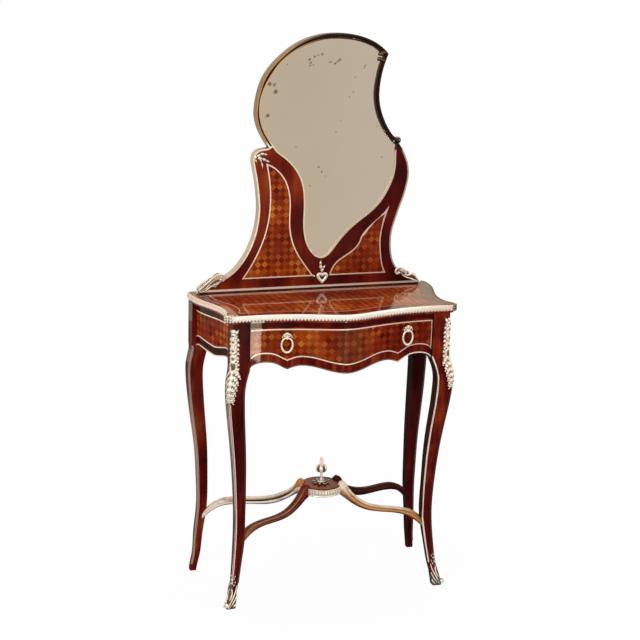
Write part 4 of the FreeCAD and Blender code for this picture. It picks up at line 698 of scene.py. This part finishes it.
def on_foot(turn):
    """Lays flat space on the foot: along is up, across is square to the leg's diagonal, and out
    is along the diagonal from the foot's outer corner."""
    def place(along, across, out):
        reach = toe_out + out
        return turn * (toe_x + diagonal * (reach + across)), diagonal * (across - reach) - toe_y, along
    return place


curl = np.linspace(-1.2, 4.6, 22)
toe = [bead((9.6, 0, 4.6), (6.4, 7.8, 7), 11, 20)]
toe += [wire(np.stack([9.8 + 4.4 * np.sin(curl), 0 * curl + side * 7.2, 5.4 + 4.4 * np.cos(curl)], 1),
             np.linspace(2.1, 1.3, len(curl))) for side in (-1, 1)]
instep = [leaf(middle(48, 72, 99), 4.6, 4.2, 5, 0, 34)]
for form, points, *shape in (
        (strand, [(58, 12.5), (44, 12), (28, 8.5), (14, 3.5), (7, 0.5)], 1.9, 3.6),
        (strand, [(36, 17.5), (24, 15.5), (13, 10), (6, 5)], 1.6, 3.2),
        (strand, [(18, 20.5), (10, 17.5), (4, 11)], 1.7, 2.6, 24),
        (strand, [(50, 1), (40, 4), (30, 3.5), (20, 1)], 1.5, 3),
        (leaf, [(54, 4.5), (62, 7.5), (70, 8.5)], 2.4, 2.6, 2, 1, 16),
        (leaf, [(70, 2.5), (77, 5.5), (84, 6.5)], 2.2, 2.6, 2, 1, 16)):
    instep += pair(form, points, *shape)
sabot_shells = []
for turn in (-1, 1):
    sabot_shells += [shoe(turn)] + laid(toe, on_foot(turn)) + laid(instep, on_corner(turn))
solid("shoe_castings", sabot_shells, "table", deep_gilt, ("sabots",))


# ---------------------------------------------------------------------------------------------
# Edge moulding of the top: a heavy gilt ovolo with a gadrooned lower edge, mitred at the front
# corners, where a leaf clasp covers each joint.

half_wide, deep, rear, table_high = 0.331, 0.334, 0.167, 0.76
side_line = [(0.976, 0.0), (0.997, 0.03), (1.0, 0.09), (0.993, 0.17), (0.968, 0.285),
             (0.905, 0.475), (0.88, 0.64), (0.893, 0.74), (0.921, 0.81)]
corner_line = [(0.921, 0.81), (0.918, 0.85), (0.885, 0.876)]
front_line = [(0.885, 0.876), (0.745, 0.868), (0.62, 0.869), (0.456, 0.888), (0.275, 0.931),
              (0.12, 0.98), (0.0, 1.0)]
scale, shift = np.array((half_wide, -deep)), np.array((0.0, rear))


def other_side(line):
    """A line's mirror image, run backwards and without the point that joins the two."""
    return (line[:-1] * (-1, 1))[::-1]


front_half = np.array(front_line)
front_all = np.r_[front_half, other_side(front_half)]
right_side = smooth(np.array(side_line) * scale + shift, 260)
right_corner = smooth(np.array(corner_line) * scale + shift, 22)
front_edge = smooth(front_all * scale + shift, 420)
plan = np.r_[right_side[:-1], right_corner[:-1], front_edge, other_side(right_corner),
             other_side(right_side)]
along = np.gradient(plan, axis=0)
along /= np.linalg.norm(along, axis=1)[:, None]
outward = np.stack([-along[:, 1], along[:, 0]], 1)
outward *= np.sign(np.sum(outward * (plan - (0.0, 0.03)), 1))[:, None]
length = np.r_[0.0, np.cumsum(np.linalg.norm(np.diff(plan, axis=0), axis=1))]
lobe = np.abs(np.sin(np.pi * length / 0.0086))[:, None] ** 0.4
profile = np.array([(-5, 0.2), (-1.2, 0.2), (0, -1), (0.5, -3), (0.6, -5), (0.4, -6.6),
                    (0.1, -8.2), (0, -10), (-0.4, -12), (-1.6, -13.8), (-3, -15.4), (-5, -15.7)]) / 1000
cut = np.array([0, 0, 0, 0, 0, 0, 0, 0.2, 0.8, 1.0, 0.9, 0])[None, :]
step_in = profile[None, :, 0] - 0.0026 * cut * (1 - lobe)
grid = np.stack([plan[:, :1] + outward[:, :1] * step_in, plan[:, 1:] + outward[:, 1:] * step_in,
                 table_high + profile[None, :, 1] + 0 * lobe], -1)
# Painted shade along the moulding's profile, most at its lower edge under the ovolo, less at its top edge;
# the gadroon notches are darkened too, painted shade with patina.
painted_shade_rows = np.array([0.3, 0.1, 0, 0, 0, 0.05, 0.15, 0.1, 0, 0.1, 0.3, 0.6])[None, :]


def shaded_ends(metal):
    """Painted shade on the moulding's gold: pinkish on the table's left side, tan towards the right
    corner, and nearly black from that corner back."""
    x, y, z = metal.parts(metal.place())
    left = x.spread(-0.31, -0.27, 0.75, 0.0) * z.spread(0.749, 0.756, 0.2, 1.0)
    side = x.spread(0.27, 0.28) * y.spread(-0.124, -0.114) * 0.95
    return [(left, (0.76, 0.48, 0.33)), (x.spread(0.14, 0.3, 0.0, 0.6), (0.66, 0.45, 0.26)),
            (side, (0.05, 0.02, 0.01))]


moulding_gilt = gilt("gilt_moulding", (1.0, 0.93, 0.84), (0.88, 0.72, 0.56), 0.34, (0.3, 1.0),
                     shaded_ends, (0.1, 0.045, 0.02), 0.25)
solid("edge_casting", [(grid, np.clip(painted_shade_rows + cut * (1 - lobe) * 3.0, 0, 1), False)], "table", moulding_gilt,
      ("top_edge_moulding",))


clasp_x, clasp_y = 0.304, 0.118
round_x, round_y, round_off = 0.2915, 0.1125, 0.014  # the top's corner, as a round


def on_top(turn):
    """Lays flat space on the top at a front corner: along runs back, across runs inwards."""
    return lambda along, across, out: (turn * (clasp_x - across), along - clasp_y, table_high + out)


def on_rim(turn):
    """Lays flat space on the moulding's corner: along runs down, across follows the corner."""
    def place(along, across, out):
        angle, reach = across / round_off - np.pi / 4, round_off - 0.0005 + out
        return (turn * (round_x + reach * np.cos(angle)), reach * np.sin(angle) - round_y,
                table_high + 0.0005 - along)
    return place


spray = [leaf([(0, 2), (12, 3), (32, 8)], 5, 2.2, 4, 0, 24),
         leaf([(0, 4), (6, 12), (14, 24)], 4.2, 2, 3, 0, 20),
         leaf([(-2, 4), (-2, 18), (1, 34)], 4.2, 2, 3, 0, 20),
         bead((0, 3, 0.4), (4.5, 4.5, 2.2))]
tongue = [leaf([(-1, across), (7, across), (16.5, across * 0.8)], 4.5, 2.2, 3, 0, 18)
          for across in (-8, 0, 8)]
clasps = [shell for turn in (-1, 1)
          for shell in laid(spray, on_top(turn)) + laid(tongue, on_rim(turn))]
clasp_gilt = gilt("gilt_clasps", hollow=(0.3, 1.0), altered=sideways(0.0, 0.02, 0.0, 0.8, (0.13, 0.06, 0.03)))
solid("corner_castings", clasps, "table", clasp_gilt, ("corner_clasps",))


# ---------------------------------------------------------------------------------------------
# Drawer end lines: an upright gilt line let in at each end of the drawer front, from the upper
# stringing line to the lower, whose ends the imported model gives. Drawn brass strip, gilded.

line_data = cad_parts["drawer_lines"].data
line_points = np.empty(len(line_data.vertices) * 3)
line_data.vertices.foreach_get("co", line_points)
line_points = line_points.reshape(-1, 3)
uprights, inset = [], 0.0012
for sign in (-1, 1):
    reach = sign * line_points[:, 0]
    ends = line_points[reach > reach.max() - inset]
    x, y = sign * (reach.max() - inset), ends[:, 1].min() + 0.0005
    height = np.linspace(ends[:, 2].min(), ends[:, 2].max(), 8)
    rod, hollow, _ = wire(np.stack([height, 0 * height, 0 * height], 1), 0.0011)
    uprights.append((np.stack([x + rod[..., 1], y - rod[..., 2], rod[..., 0]], -1), hollow, False))
solid("drawer_end_lines", uprights, "drawer",
      gilt("gilt_end_lines", (0.92, 0.74, 0.62), (0.66, 0.46, 0.34)))


# ---------------------------------------------------------------------------------------------
# Drawer handles: a flower plate and shank with a ribbon bow over the eye, and an oval ring,
# thicker and leafy at its foot, that swings on a pin in the eye.

# The pins' places, and how far each handle is turned with the bow of the drawer front.
handles = {"left": ((-0.152386, -0.134668, 0.7025), -9.811),
           "right": ((0.167948, -0.132226, 0.7025), 7.998)}


def on_handle(side):
    """Lays flat space on a handle: along is up from the pin, across is to the right, out from it."""
    (px, py, pz), degrees = handles[side]
    c, s = math.cos(math.radians(degrees)), math.sin(math.radians(degrees))
    return lambda along, across, out: (px + c * across + s * out, py + s * across - c * out, pz + along)


around = angles(72)
foot_share = 0.5 - 0.5 * np.cos(around)
loop = np.stack([18.3 * np.cos(around) - 17.9, 13.9 * np.sin(around) * (1 + 0.06 * np.cos(around)),
                 0 * around], 1)
knots = 0.6 * np.cos(18 * around) * (0.3 + 0.7 * foot_share)
ring_shells = [wire(loop, 2.2 + 0.5 * foot_share ** 2 + knots, True, 12)]
ring_shells += pair(leaf, [(-34.5, 1), (-32.5, 7.5), (-26.5, 12.5)], 2.4, 3.2, 3, 0, 16)
ring_shells += [bead((-36.2, 0, 1.2), (2.4, 3, 2.2))]
bow = pair(leaf, [(12.5, 0.4), (10, 6.2), (4, 10.8), (-1.5, 12.8)], 2.6, 3.4, 3, 0, 26)
bow += [oval((6.2, side * 3.6), (2.6, 3), 1.1, 1.2, 18) for side in (-1, 1)]
bow += [bead((11.8, 0, 1.4), (2.8, 3.2, 2.4)), bead((0, 0, 0.6), (4.2, 4, 4.4), 9, 14),
        wire([(0.5, 0, -13.5), (0.4, 0, -9), (0, 0.1, -1)], 2.2, False, 12)]
for angle in np.arange(8) * math.pi / 4:
    spoke = [(reach * math.cos(angle), reach * math.sin(angle)) for reach in (2, 4.5, 7.8)]
    petal, hollow, _ = leaf(spoke, 2.6, 1.6, 2, 0, 10, 10)
    bow.append((petal - (0, 0, 13.2), hollow, False))
for side in ("left", "right"):
    solid("handle_bow_" + side, laid(bow, on_handle(side)), "drawer", cast_gilt,
          ("handle_post_" + side,))
    solid("handle_loop_" + side, laid(ring_shells, on_handle(side)), "ring_" + side, cast_gilt,
          ("handle_ring_" + side,))


# ---------------------------------------------------------------------------------------------
# Shelf mounts: a gadrooned band round the stretcher's shelf, a flower of curled leaves on it,
# and a melon finial with a bud, screwed through from below.

shelf_x, shelf_y, shelf_top = 0.0, 0.0155, 0.262


def turned(profile, lobes=0, depth=0.0, zone=(0.0, 1.0), columns=48, twist=0.0):
    """Turned form round the shelf's axis: radius and height along the profile, in millimetres,
    with lobes round it as the power of a sine, only between two heights."""
    line = smooth(profile, 60)
    angle = angles(columns)[None, :]
    height = line[:, 1:2]
    part = np.clip(np.minimum(height - zone[0], zone[1] - height) / 3, 0, 1)
    swell = np.ones_like(angle)
    if lobes:
        swell = np.abs(np.sin(lobes * angle / 2 + twist * (height - zone[0]))) ** 0.7
    radius = np.maximum(line[:, :1], 0.3) * (1 - depth * part * (1 - swell))
    grid = np.stack([radius * np.cos(angle), radius * np.sin(angle), height + 0 * angle], -1) / 1000
    # Shading: the gaps between the lobes are darkened, painted shade with patina in the recesses.
    return grid + (shelf_x, shelf_y, 0), np.clip((1 - swell) * part * 1.6, 0, 1) + 0 * radius, False


finial_line = [(2.8, 262.5), (3.4, 272), (2.6, 282), (4.2, 286.5), (3, 289.5), (8.5, 292.5),
               (14.6, 298.5), (15.2, 304.5), (11.2, 311), (5.2, 315), (2.8, 317.2), (4.6, 318.5),
               (6.6, 321.5), (4.6, 324.5), (2.6, 325.8), (4, 328.5), (3, 332.5), (0.3, 335)]
melon = turned(finial_line, 5, 0.34, (290.5, 314), 90, 0.018)


def on_shelf(angle):
    """Lays flat space on the shelf: along runs outwards at an angle, out is up."""
    c, s = math.cos(angle), math.sin(angle)
    return lambda along, across, out: (shelf_x + c * along - s * across, shelf_y + s * along + c * across,
                                       shelf_top + out)


flower = []
for k in range(8):
    angle = k * math.pi / 4 + 0.2
    flower += laid([leaf(middle(3, 14, 26.2), 6.2, 3, 4, 4.5, 24)], on_shelf(angle))
    flower += laid([leaf(middle(2, 9, 16.5), 4.5, 4, 3, 6.5, 18)], on_shelf(angle + math.pi / 8))
flower.append(turned([(8.5, 261.5), (8, 264), (5, 266), (3, 267.5)]))
solid("finial_casting", [melon], "table", deep_gilt, ("finial",))
solid("shelf_flower", flower, "table", deep_gilt, ("finial_rosette",))

turn_round = angles(480)[:, None]
gadroon = np.abs(np.sin(turn_round * 20)) ** 0.6
band = np.array([(50, 240), (53.2, 240), (54.2, 241.2), (53.4, 242.6), (53, 243.8),
                 (54.1, 246.5), (54.4, 250), (54, 253.5), (53, 256.2), (53.5, 257.5),
                 (54.2, 258.4), (53, 259.2), (50, 259.2)]) / 1000
cut = np.array([0, 0, 0, 0, 0.4, 1, 1, 1, 0.4, 0, 0, 0, 0])[None, :]
radius = band[None, :, 0] - 0.0012 * cut * (1 - gadroon)
grid = np.stack([shelf_x + radius * np.cos(turn_round), shelf_y + radius * np.sin(turn_round),
                 band[None, :, 1] + 0 * turn_round], -1)
# Shading: the gaps between the gadroons and the band's edges are darkened, painted shade with patina in the
# recesses.
solid("band_casting", [(grid, np.clip(cut * (1 - gadroon) * 0.9 + 0.3 * (cut == 0.4), 0, 1), True)], "table",
      cast_gilt, ("shelf_band",))


# ---------------------------------------------------------------------------------------------
# Stretcher arms: four curved arms from the shelf down to the legs, tenoned at both ends. Solid
# kingwood with a ridge along each side; their tones are painted light: the pale tones of two of them
# are painted reflections, and the lines along the ridges painted highlights.

def arm_wood_painted_light(name, tones, head, foot, gloss):
    """Streaked wood. The colour goes by how far down the section a place is, which an attribute
    carries: the top, the upper face, the ridge and the lower face each have their own tone, and the
    upper ones change near the shelf and near the leg. These tones are painted light: painted
    highlights, reflections and shade."""
    wood = Finish(name)
    down = wood.add("ShaderNodeAttribute", {"attribute_name": "hollow"}, {}, "Fac")
    x, y, _ = wood.parts(wood.place())
    reach = (x * x + (y - shelf_y) * (y - shelf_y)).math("POWER", 0.5)
    colour = wood.ramp(down, tones)
    above = down.spread(0.42, 0.48, 1.0, 0.25)
    colour = wood.mix(reach.spread(0.055, 0.085, 1.0, 0.0) * above, colour, head)
    colour = wood.mix(reach.spread(0.21, 0.26) * above, colour, foot)
    streak = wood.noise(stretch(wood, 26.0, 26.0, 150.0), 1.0, 4.0, 0.6, 0.6)
    cloud = wood.noise(wood.place(), 24.0, 2.0, 0.5)
    darker_figure = wood.mix(1.0, colour, (0.42, 0.26, 0.2), "MULTIPLY")
    colour = wood.mix((streak * 0.6 + cloud * 0.4).spread(0.48, 0.66, 0.0, 0.7), colour, darker_figure)
    return wood.polished(colour, cloud.spread(0.3, 0.8, 0.26, 0.42),
                         cloud.spread(0.25, 0.9, gloss, 0.6 * gloss), wood.bump(streak, 0.0002, 0.3), 0.05)


# Along the reach and up, as shares of the reach and of the shelf's 262 mm: top line, low line.
front_arm = ([(0.155, 0.97), (0.175, 1.02), (0.205, 1.025), (0.245, 0.985), (0.315, 0.894), (0.428, 0.814),
              (0.598, 0.782), (0.797, 0.771), (0.888, 0.744), (0.99, 0.654)],
             [(0.155, 0.911), (0.205, 0.876), (0.29, 0.813), (0.409, 0.752), (0.598, 0.729), (0.797, 0.71),
              (0.88, 0.674), (0.99, 0.581)], (0.2552, -0.0897))
rear_arm = ([(0.136, 0.97), (0.15, 1.025), (0.18, 1.035), (0.215, 0.98), (0.283, 0.908), (0.41, 0.847),
             (0.6, 0.82), (0.807, 0.801), (0.886, 0.76), (0.99, 0.645)],
            [(0.136, 0.911), (0.19, 0.889), (0.28, 0.828), (0.4, 0.77), (0.56, 0.755), (0.755, 0.742),
             (0.87, 0.7), (0.99, 0.571)], (0.2953, 0.1273))
# The section: how far out, how far down, and the key into the painted light tones.
section = [(0.0, 0.0, 0.1), (0.006, 0.0, 0.2), (0.008, 0.05, 0.3), (0.0096, 0.25, 0.38),
           (0.011, 0.45, 0.45), (0.0115, 0.49, 0.5), (0.011, 0.53, 0.56), (0.0092, 0.77, 0.7),
           (0.007, 0.95, 0.8), (0.005, 1.0, 0.9), (0.0, 1.0, 1.0)]
section = np.array(section + [(-out, down, tone) for out, down, tone in section[-2:0:-1]])


def arm(lines, turn):
    """Arm: at each step along, the section spans the distance from the top line to the low line,
    each at even steps of its own length, square to the upright plane of the arm."""
    top, low, (leg_x, leg_y) = lines
    span = np.array([turn * leg_x - shelf_x, leg_y - shelf_y])
    reach = np.linalg.norm(span)
    ahead, square = span / reach, np.array([-span[1], span[0]]) / reach
    upper, lower = (smooth(np.array(line) * (reach, shelf_top), 64)[:, None] for line in (top, low))
    down, out = section[None, :, 1:2], section[None, :, :1]
    run = upper * (1 - down) + lower * down
    plan = np.array([shelf_x, shelf_y]) + run[..., :1] * ahead + out * square
    return np.concatenate([plan, run[..., 1:]], -1), section[None, :, 2] + np.zeros((64, 1)), False


# Each arm: its place, lines, side, the painted light tones down its section, the painted tones at its head
# and foot, and its gloss.
arms = (("front_left", front_arm, -1,
         ((0.2, (0.14, 0.03, 0.014)), (0.3, (0.5, 0.24, 0.12)), (0.36, (0.12, 0.02, 0.008)),
          (0.47, (0.1, 0.008, 0.004)), (0.5, (0.62, 0.32, 0.19)), (0.53, (0.1, 0.004, 0.004)),
          (0.8, (0.03, 0.001, 0.001))), (0.16, 0.02, 0.012), (0.4, 0.16, 0.055), 0.1),
        ("front_right", front_arm, 1,
         ((0.2, (0.92, 0.78, 0.62)), (0.3, (0.8, 0.58, 0.36)), (0.36, (0.12, 0.04, 0.015)),
          (0.4, (0.5, 0.22, 0.07)), (0.52, (0.64, 0.34, 0.13)), (0.66, (0.28, 0.08, 0.026)),
          (0.78, (0.03, 0.006, 0.003))), (0.84, 0.7, 0.58), (0.4, 0.16, 0.05), 0.3),
        ("rear_left", rear_arm, -1,
         ((0.2, (0.92, 0.8, 0.66)), (0.33, (0.62, 0.42, 0.24)), (0.39, (0.05, 0.014, 0.008)),
          (0.46, (0.06, 0.018, 0.01)), (0.5, (1.0, 0.93, 0.85)), (0.66, (1.0, 0.9, 0.8)),
          (0.76, (0.1, 0.05, 0.03))), (0.6, 0.24, 0.06), (0.8, 0.66, 0.54), 0.3),
        ("rear_right", rear_arm, 1,
         ((0.2, (0.06, 0.01, 0.008)), (0.38, (0.035, 0.004, 0.003)), (0.5, (0.08, 0.018, 0.013)),
          (0.55, (0.022, 0.003, 0.003)), (0.8, (0.012, 0.002, 0.002))), (0.045, 0.005, 0.004),
         (0.045, 0.005, 0.004), 0.03))
for place, lines, turn, tones, head, foot, gloss in arms:
    wood = arm_wood_painted_light("arm_wood_" + place, tones, head, foot, gloss)
    solid("arm_" + place, [arm(lines, turn)], "table", wood, ("stretcher_arm_" + place,))


# ---------------------------------------------------------------------------------------------
# Gallery mounts: acanthus scrolls where the board meets the top, a leaf on its left shoulder, and
# an open heart under the mirror. Thin castings pinned to the face and edge of the board.

def on_face(depth):
    """Lays flat space on an upright face: along is to the right, across is up, out is forwards."""
    return lambda along, across, out: (along, depth - out, across)


mount_depth, mirror_depth = 0.1368, 0.1366
ground = [leaf([(-310, 765), (-292, 773), (-274, 785), (-250, 797)], 8.5, 2.2, 5, 0, 40),
          leaf([(304, 766), (288, 777), (272, 783), (250, 794)], 6.2, 2, 4, 0, 36)]
# The ground leaves under the scrolls are painted dark all over: painted shade between the strands.
feet = [(grid, 0.95 + 0 * hollow, joined) for grid, hollow, joined in ground]
feet += [strand(points, thick, out) for points, thick, out in (
    (((-312, 765), (-302, 772), (-288, 783), (-272, 797), (-258, 806), (-246, 808), (-238, 802),
      (-240.5, 792), (-248, 791)), 2.9, 3.4),
    (((-304, 765), (-291, 766.5), (-276, 777), (-266, 782), (-255, 784), (-250, 790)), 2.4, 3.4),
    (((-300, 771), (-288, 774), (-277, 785), (-266, 794), (-256, 797)), 1.7, 4.4),
    (((265, 783), (263, 795), (253, 804), (242, 804.5), (235.5, 797), (239.5, 789), (246.5, 789.5)), 3, 3.6),
    (((261, 787), (272, 784), (283, 786.5), (293, 780.5), (303, 767)), 2.6, 3.4),
    (((255, 785), (267, 778.5), (282, 773.5), (302, 765)), 2.1, 3))]
feet += [leaf(points, width, 4.6, 2, 2, 18) for points, width in (
    (((-300, 773), (-296, 781), (-288, 788)), 3.4), (((-285, 784), (-279, 795), (-270, 802)), 3.6),
    (((-268, 798), (-261, 808), (-251, 812)), 3.4), (((-290, 768), (-281, 768), (-275, 771)), 2.6),
    (((-272, 779), (-263, 777), (-257, 780)), 2.8), (((296, 776), (291, 785), (283, 789)), 2.8),
    (((276, 786), (271, 793), (263, 796)), 2.6))]
feet += [bead((-247, 794.5, 3), (4, 4.2, 4.2)), bead((-309.5, 764, 2), (3.5, 3.2, 3)),
         bead((244, 792, 3), (4.2, 4.2, 4.5)), bead((306.5, 765, 2), (3, 2.8, 3))]
edge_leaves = []
for run in ([(-304, 770), (-286, 780), (-262, 791), (-243, 800)],
            [(304, 769), (286, 777), (262, 788), (247, 800)]):
    line = smooth(run, 30) / 1000
    u = np.linspace(0.0, 1.0, 30)[:, None]
    across = np.linspace(0.0, 1.0, 12)[None, :]
    rib = np.abs(np.cos(3 * np.pi * across)) * (0.85 + 0.15 * np.cos(6 * np.pi * u))
    high = 0.0015 + 0.005 * np.sin(np.pi * u) ** 0.5 * (0.45 + 0.55 * rib)
    upper = np.stack([line[:, :1] + 0 * across, 0.136 + 0.0235 * across + 0 * u, line[:, 1:] + high], -1)
    # The edge leaves' undersides are painted dark: painted shade under them.
    under = upper[:, ::-1] * (1, 1, 0) + (0, 0, 1) * (line[:, 1:] - 0.004)[:, :, None]
    edge_leaves.append((np.concatenate([upper, under], 1),
                        np.concatenate([np.clip(0.9 - 1.3 * rib, 0, 1), np.ones((30, 12))], 1), False))


foot_gilt = gilt("gilt_acanthus", (1.0, 0.88, 0.76), (0.6, 0.38, 0.24), 0.28, (0.12, 0.62),
                 sideways(-0.05, 0.05, 0.45, 0.0, (0.6, 0.45, 0.31)), (0.045, 0.015, 0.007), 0.35)
solid("acanthus_castings", laid(feet, on_face(mount_depth)) + edge_leaves, "table", foot_gilt,
      ("acanthus_feet",))

shoulder = [leaf(points, *shape) for points, *shape in (
    (((-147, 1103), (-152, 1113), (-158, 1111), (-158, 1100), (-154.5, 1095)), 4.2, 3.6, 4, 0, 30),
    (((-153, 1112), (-145, 1117), (-136, 1117), (-127, 1114.5)), 4.2, 3.6, 3, 1, 24),
    (((-150, 1108), (-141, 1105), (-132, 1101), (-121, 1096)), 4.2, 3.6, 3, 1, 24),
    (((-149, 1107), (-144, 1098), (-140.5, 1086), (-139.5, 1078)), 2.8, 3, 2, 0, 22))]
shoulder += [bead((-148.5, 1107, 1), (4.5, 4.5, 3.5))]
solid("shoulder_casting", laid(shoulder, on_face(mount_depth)), "table", cast_gilt,
      ("shoulder_leaf",))

# The heart's line from its own middle: sine cubed across, cosines of one, two and three turns up.
t = angles(60)
heart_line = np.stack([29 + 0.90 * (12 * np.sin(t) ** 3 + 1.4 * np.sin(t)),
                       789.5 + 0.92 * (11.2 * np.cos(t) - 4.2 * np.cos(2 * t) - 1.2 * np.cos(3 * t)),
                       0 * t + 1.2], 1)
heart = [wire(heart_line, 4.2, True, 12),
         leaf([(29, 803), (26, 812), (24, 822), (24.3, 834)], 5.2, 3.6, 3, 0, 26),
         leaf([(29, 806), (32, 813), (37, 821)], 3.6, 3.2, 2, 0, 18),
         bead((6.5, 793.2, 0.8), (2.8, 2.8, 2.2))]
solid("heart_casting", laid(heart, on_face(mirror_depth)), "table", cast_gilt,
      ("heart_mount",))


# ---------------------------------------------------------------------------------------------
# Mirror mounts: a small scroll at the frame's point and a ball knob on its right side, both in
# dark patinated bronze with a little gilding left on the high parts.

dark_bronze = gilt("dark_bronze", (0.15, 0.095, 0.055), (0.03, 0.016, 0.01), 0.22, (0.3, 1.0),
                   metallic=1.0)
scrolls = [bead((173.5, 1369, 0.8), (6.2, 5, 4)), bead((171.5, 1356, 0.8), (6.2, 5.6, 4)),
           leaf([(172, 1371), (180, 1373), (188, 1370)], 4.5, 3.2, 2, 0, 18),
           leaf([(172, 1354), (179, 1354), (184, 1349)], 4.8, 3.2, 2, 0, 18)]
solid("tip_casting", laid(scrolls, on_face(mirror_depth)), "table", dark_bronze,
      ("mirror_tip_mount",))
ball = [bead((233, 1145, 0), (9.2, 9.2, 9), 15, 24), bead((222.5, 1152, 1.5), (3.5, 3.5, 3.5), 9, 14)]
solid("knob_casting", laid(ball, on_face(0.149)), "table", dark_bronze, ("mirror_knob",))


# ---------------------------------------------------------------------------------------------
# Studio: a pale floor under a white surround, soft lamps, and the camera at the photograph's place.

floor_mesh = bpy.data.meshes.new("floor")
around, floor_reach = angles(96), 3.0
ring = np.stack([floor_reach * np.cos(around), floor_reach * np.sin(around), 0 * around - 0.0004], 1)
floor_mesh.from_pydata(ring.tolist(), [], [list(range(96))])
floor = bpy.data.objects.new("floor", floor_mesh)
scene.collection.objects.link(floor)
paint = Finish("pale_floor")
camera_ray, glossy_ray, through_ray = paint.rays()
far = paint.add("ShaderNodeVectorMath", {"operation": "LENGTH"}, {0: paint.place()}, "Value")
white = paint.add("ShaderNodeEmission", {},
                  {"Color": paint.mix(glossy_ray, (1.0, 1.0, 1.0), (1.0, 0.87, 0.7)), "Strength": 1.0})
matt = paint.add("ShaderNodeBsdfDiffuse", {},
                 {"Color": paint.mix(glossy_ray, (0.86, 0.86, 0.86), (0.06, 0.05, 0.045))})
side, depth, _ = paint.parts(paint.place())
back = depth.spread(0.1, 0.3)
# Seen in reflections the floor is dark but for a painted pool of light behind the table on the left, with
# painted shade behind it on the right and a dim glow in front; camera rays see it white.
painted_glow = (1.0 - back) * 0.12 + back * side.spread(-0.55, -0.4, 1.0, 0.08) * depth.spread(1.0, 1.7, 1.0, 0.12)
share = camera_ray.most(through_ray) * far.spread(0.6, 2.2, 0.95, 1.0) + glossy_ray * painted_glow
paint.add("ShaderNodeOutputMaterial", {},
          {"Surface": paint.add("ShaderNodeMixShader", {}, {0: share, 1: matt, 2: white})})
floor_mesh.materials.append(paint.material)

world = bpy.data.worlds.new("studio")
scene.world = world
air = Finish("studio_air", world)
camera_ray, glossy_ray, through_ray = air.rays()
direction = air.parts(air.add("ShaderNodeTexCoord", {}, {}, "Generated"))
behind = direction[1].spread(-0.35, 0.15)
dim = (1.0 - behind) * direction[2].spread(0.0, 0.25, 1.0, 0.0)
mirrored = air.mix(dim, (0.74, 0.68, 0.51), (0.55, 0.46, 0.34))
sight = air.mix(camera_ray.most(through_ray), mirrored, (1.0, 1.0, 1.0))
tint = air.mix(camera_ray.most(glossy_ray).most(through_ray), (0.56, 0.56, 0.56), sight)
air.add("ShaderNodeOutputWorld", {}, {"Surface": air.add("ShaderNodeBackground", {},
                                                         {"Color": tint, "Strength": 1.0})})


def set_up(obj, right, up, back, place):
    """Links an object with its own axes pointing right, up and back, at a place."""
    turn = np.eye(4)
    turn[:3] = np.stack([right, up, back, place], 1)
    obj.matrix_world = Matrix(turn.tolist())
    scene.collection.objects.link(obj)


def lamp(name, place, aim, wide, high, power, tone=(1.0, 1.0, 1.0)):
    """Soft rectangular lamp that the camera doesn't see."""
    data = bpy.data.lights.new(name, "AREA")
    data.shape, data.size, data.size_y, data.energy, data.color = "RECTANGLE", wide, high, power, tone
    obj = bpy.data.objects.new(name, data)
    obj.visible_camera = False
    back = np.subtract(place, aim) / np.linalg.norm(np.subtract(place, aim))
    right = np.cross((0.0, 0.0, 1.0), back)
    right /= np.linalg.norm(right)
    set_up(obj, right, np.cross(back, right), back, place)


lamp("lamp_left", (-2.6, -2.4, 2.6), (0.0, 0.0, 0.6), 1.6, 1.6, 68.0)
lamp("lamp_right", (2.6, -2.2, 1.8), (0.0, 0.0, 0.6), 1.4, 1.8, 22.0)
lamp("lamp_top", (0.2, 0.6, 3.2), (0.0, 0.0, 0.5), 2.0, 1.4, 25.0)
lamp("lamp_low", (0.3425, -2.05, 0.168), (0.31, 0.0, 0.168), 0.195, 0.165, 2.7, (1.0, 0.84, 0.64))

yaw, pitch, roll, eye = 0.339, 0.242, 0.028, (-1.322, -3.689, 1.674)
ahead = np.array([math.sin(yaw) * math.cos(pitch), math.cos(yaw) * math.cos(pitch), -math.sin(pitch)])
level = np.array([math.cos(yaw), -math.sin(yaw), 0.0])
upward = np.cross(level, ahead)
camera = bpy.data.objects.new("camera", bpy.data.cameras.new("camera"))
camera.data.sensor_width, camera.data.lens = 36.0, 88.8
set_up(camera, math.cos(roll) * level + math.sin(roll) * upward,
       math.cos(roll) * upward - math.sin(roll) * level, -ahead, eye)
scene.camera = camera
scene.view_settings.view_transform = "Standard"
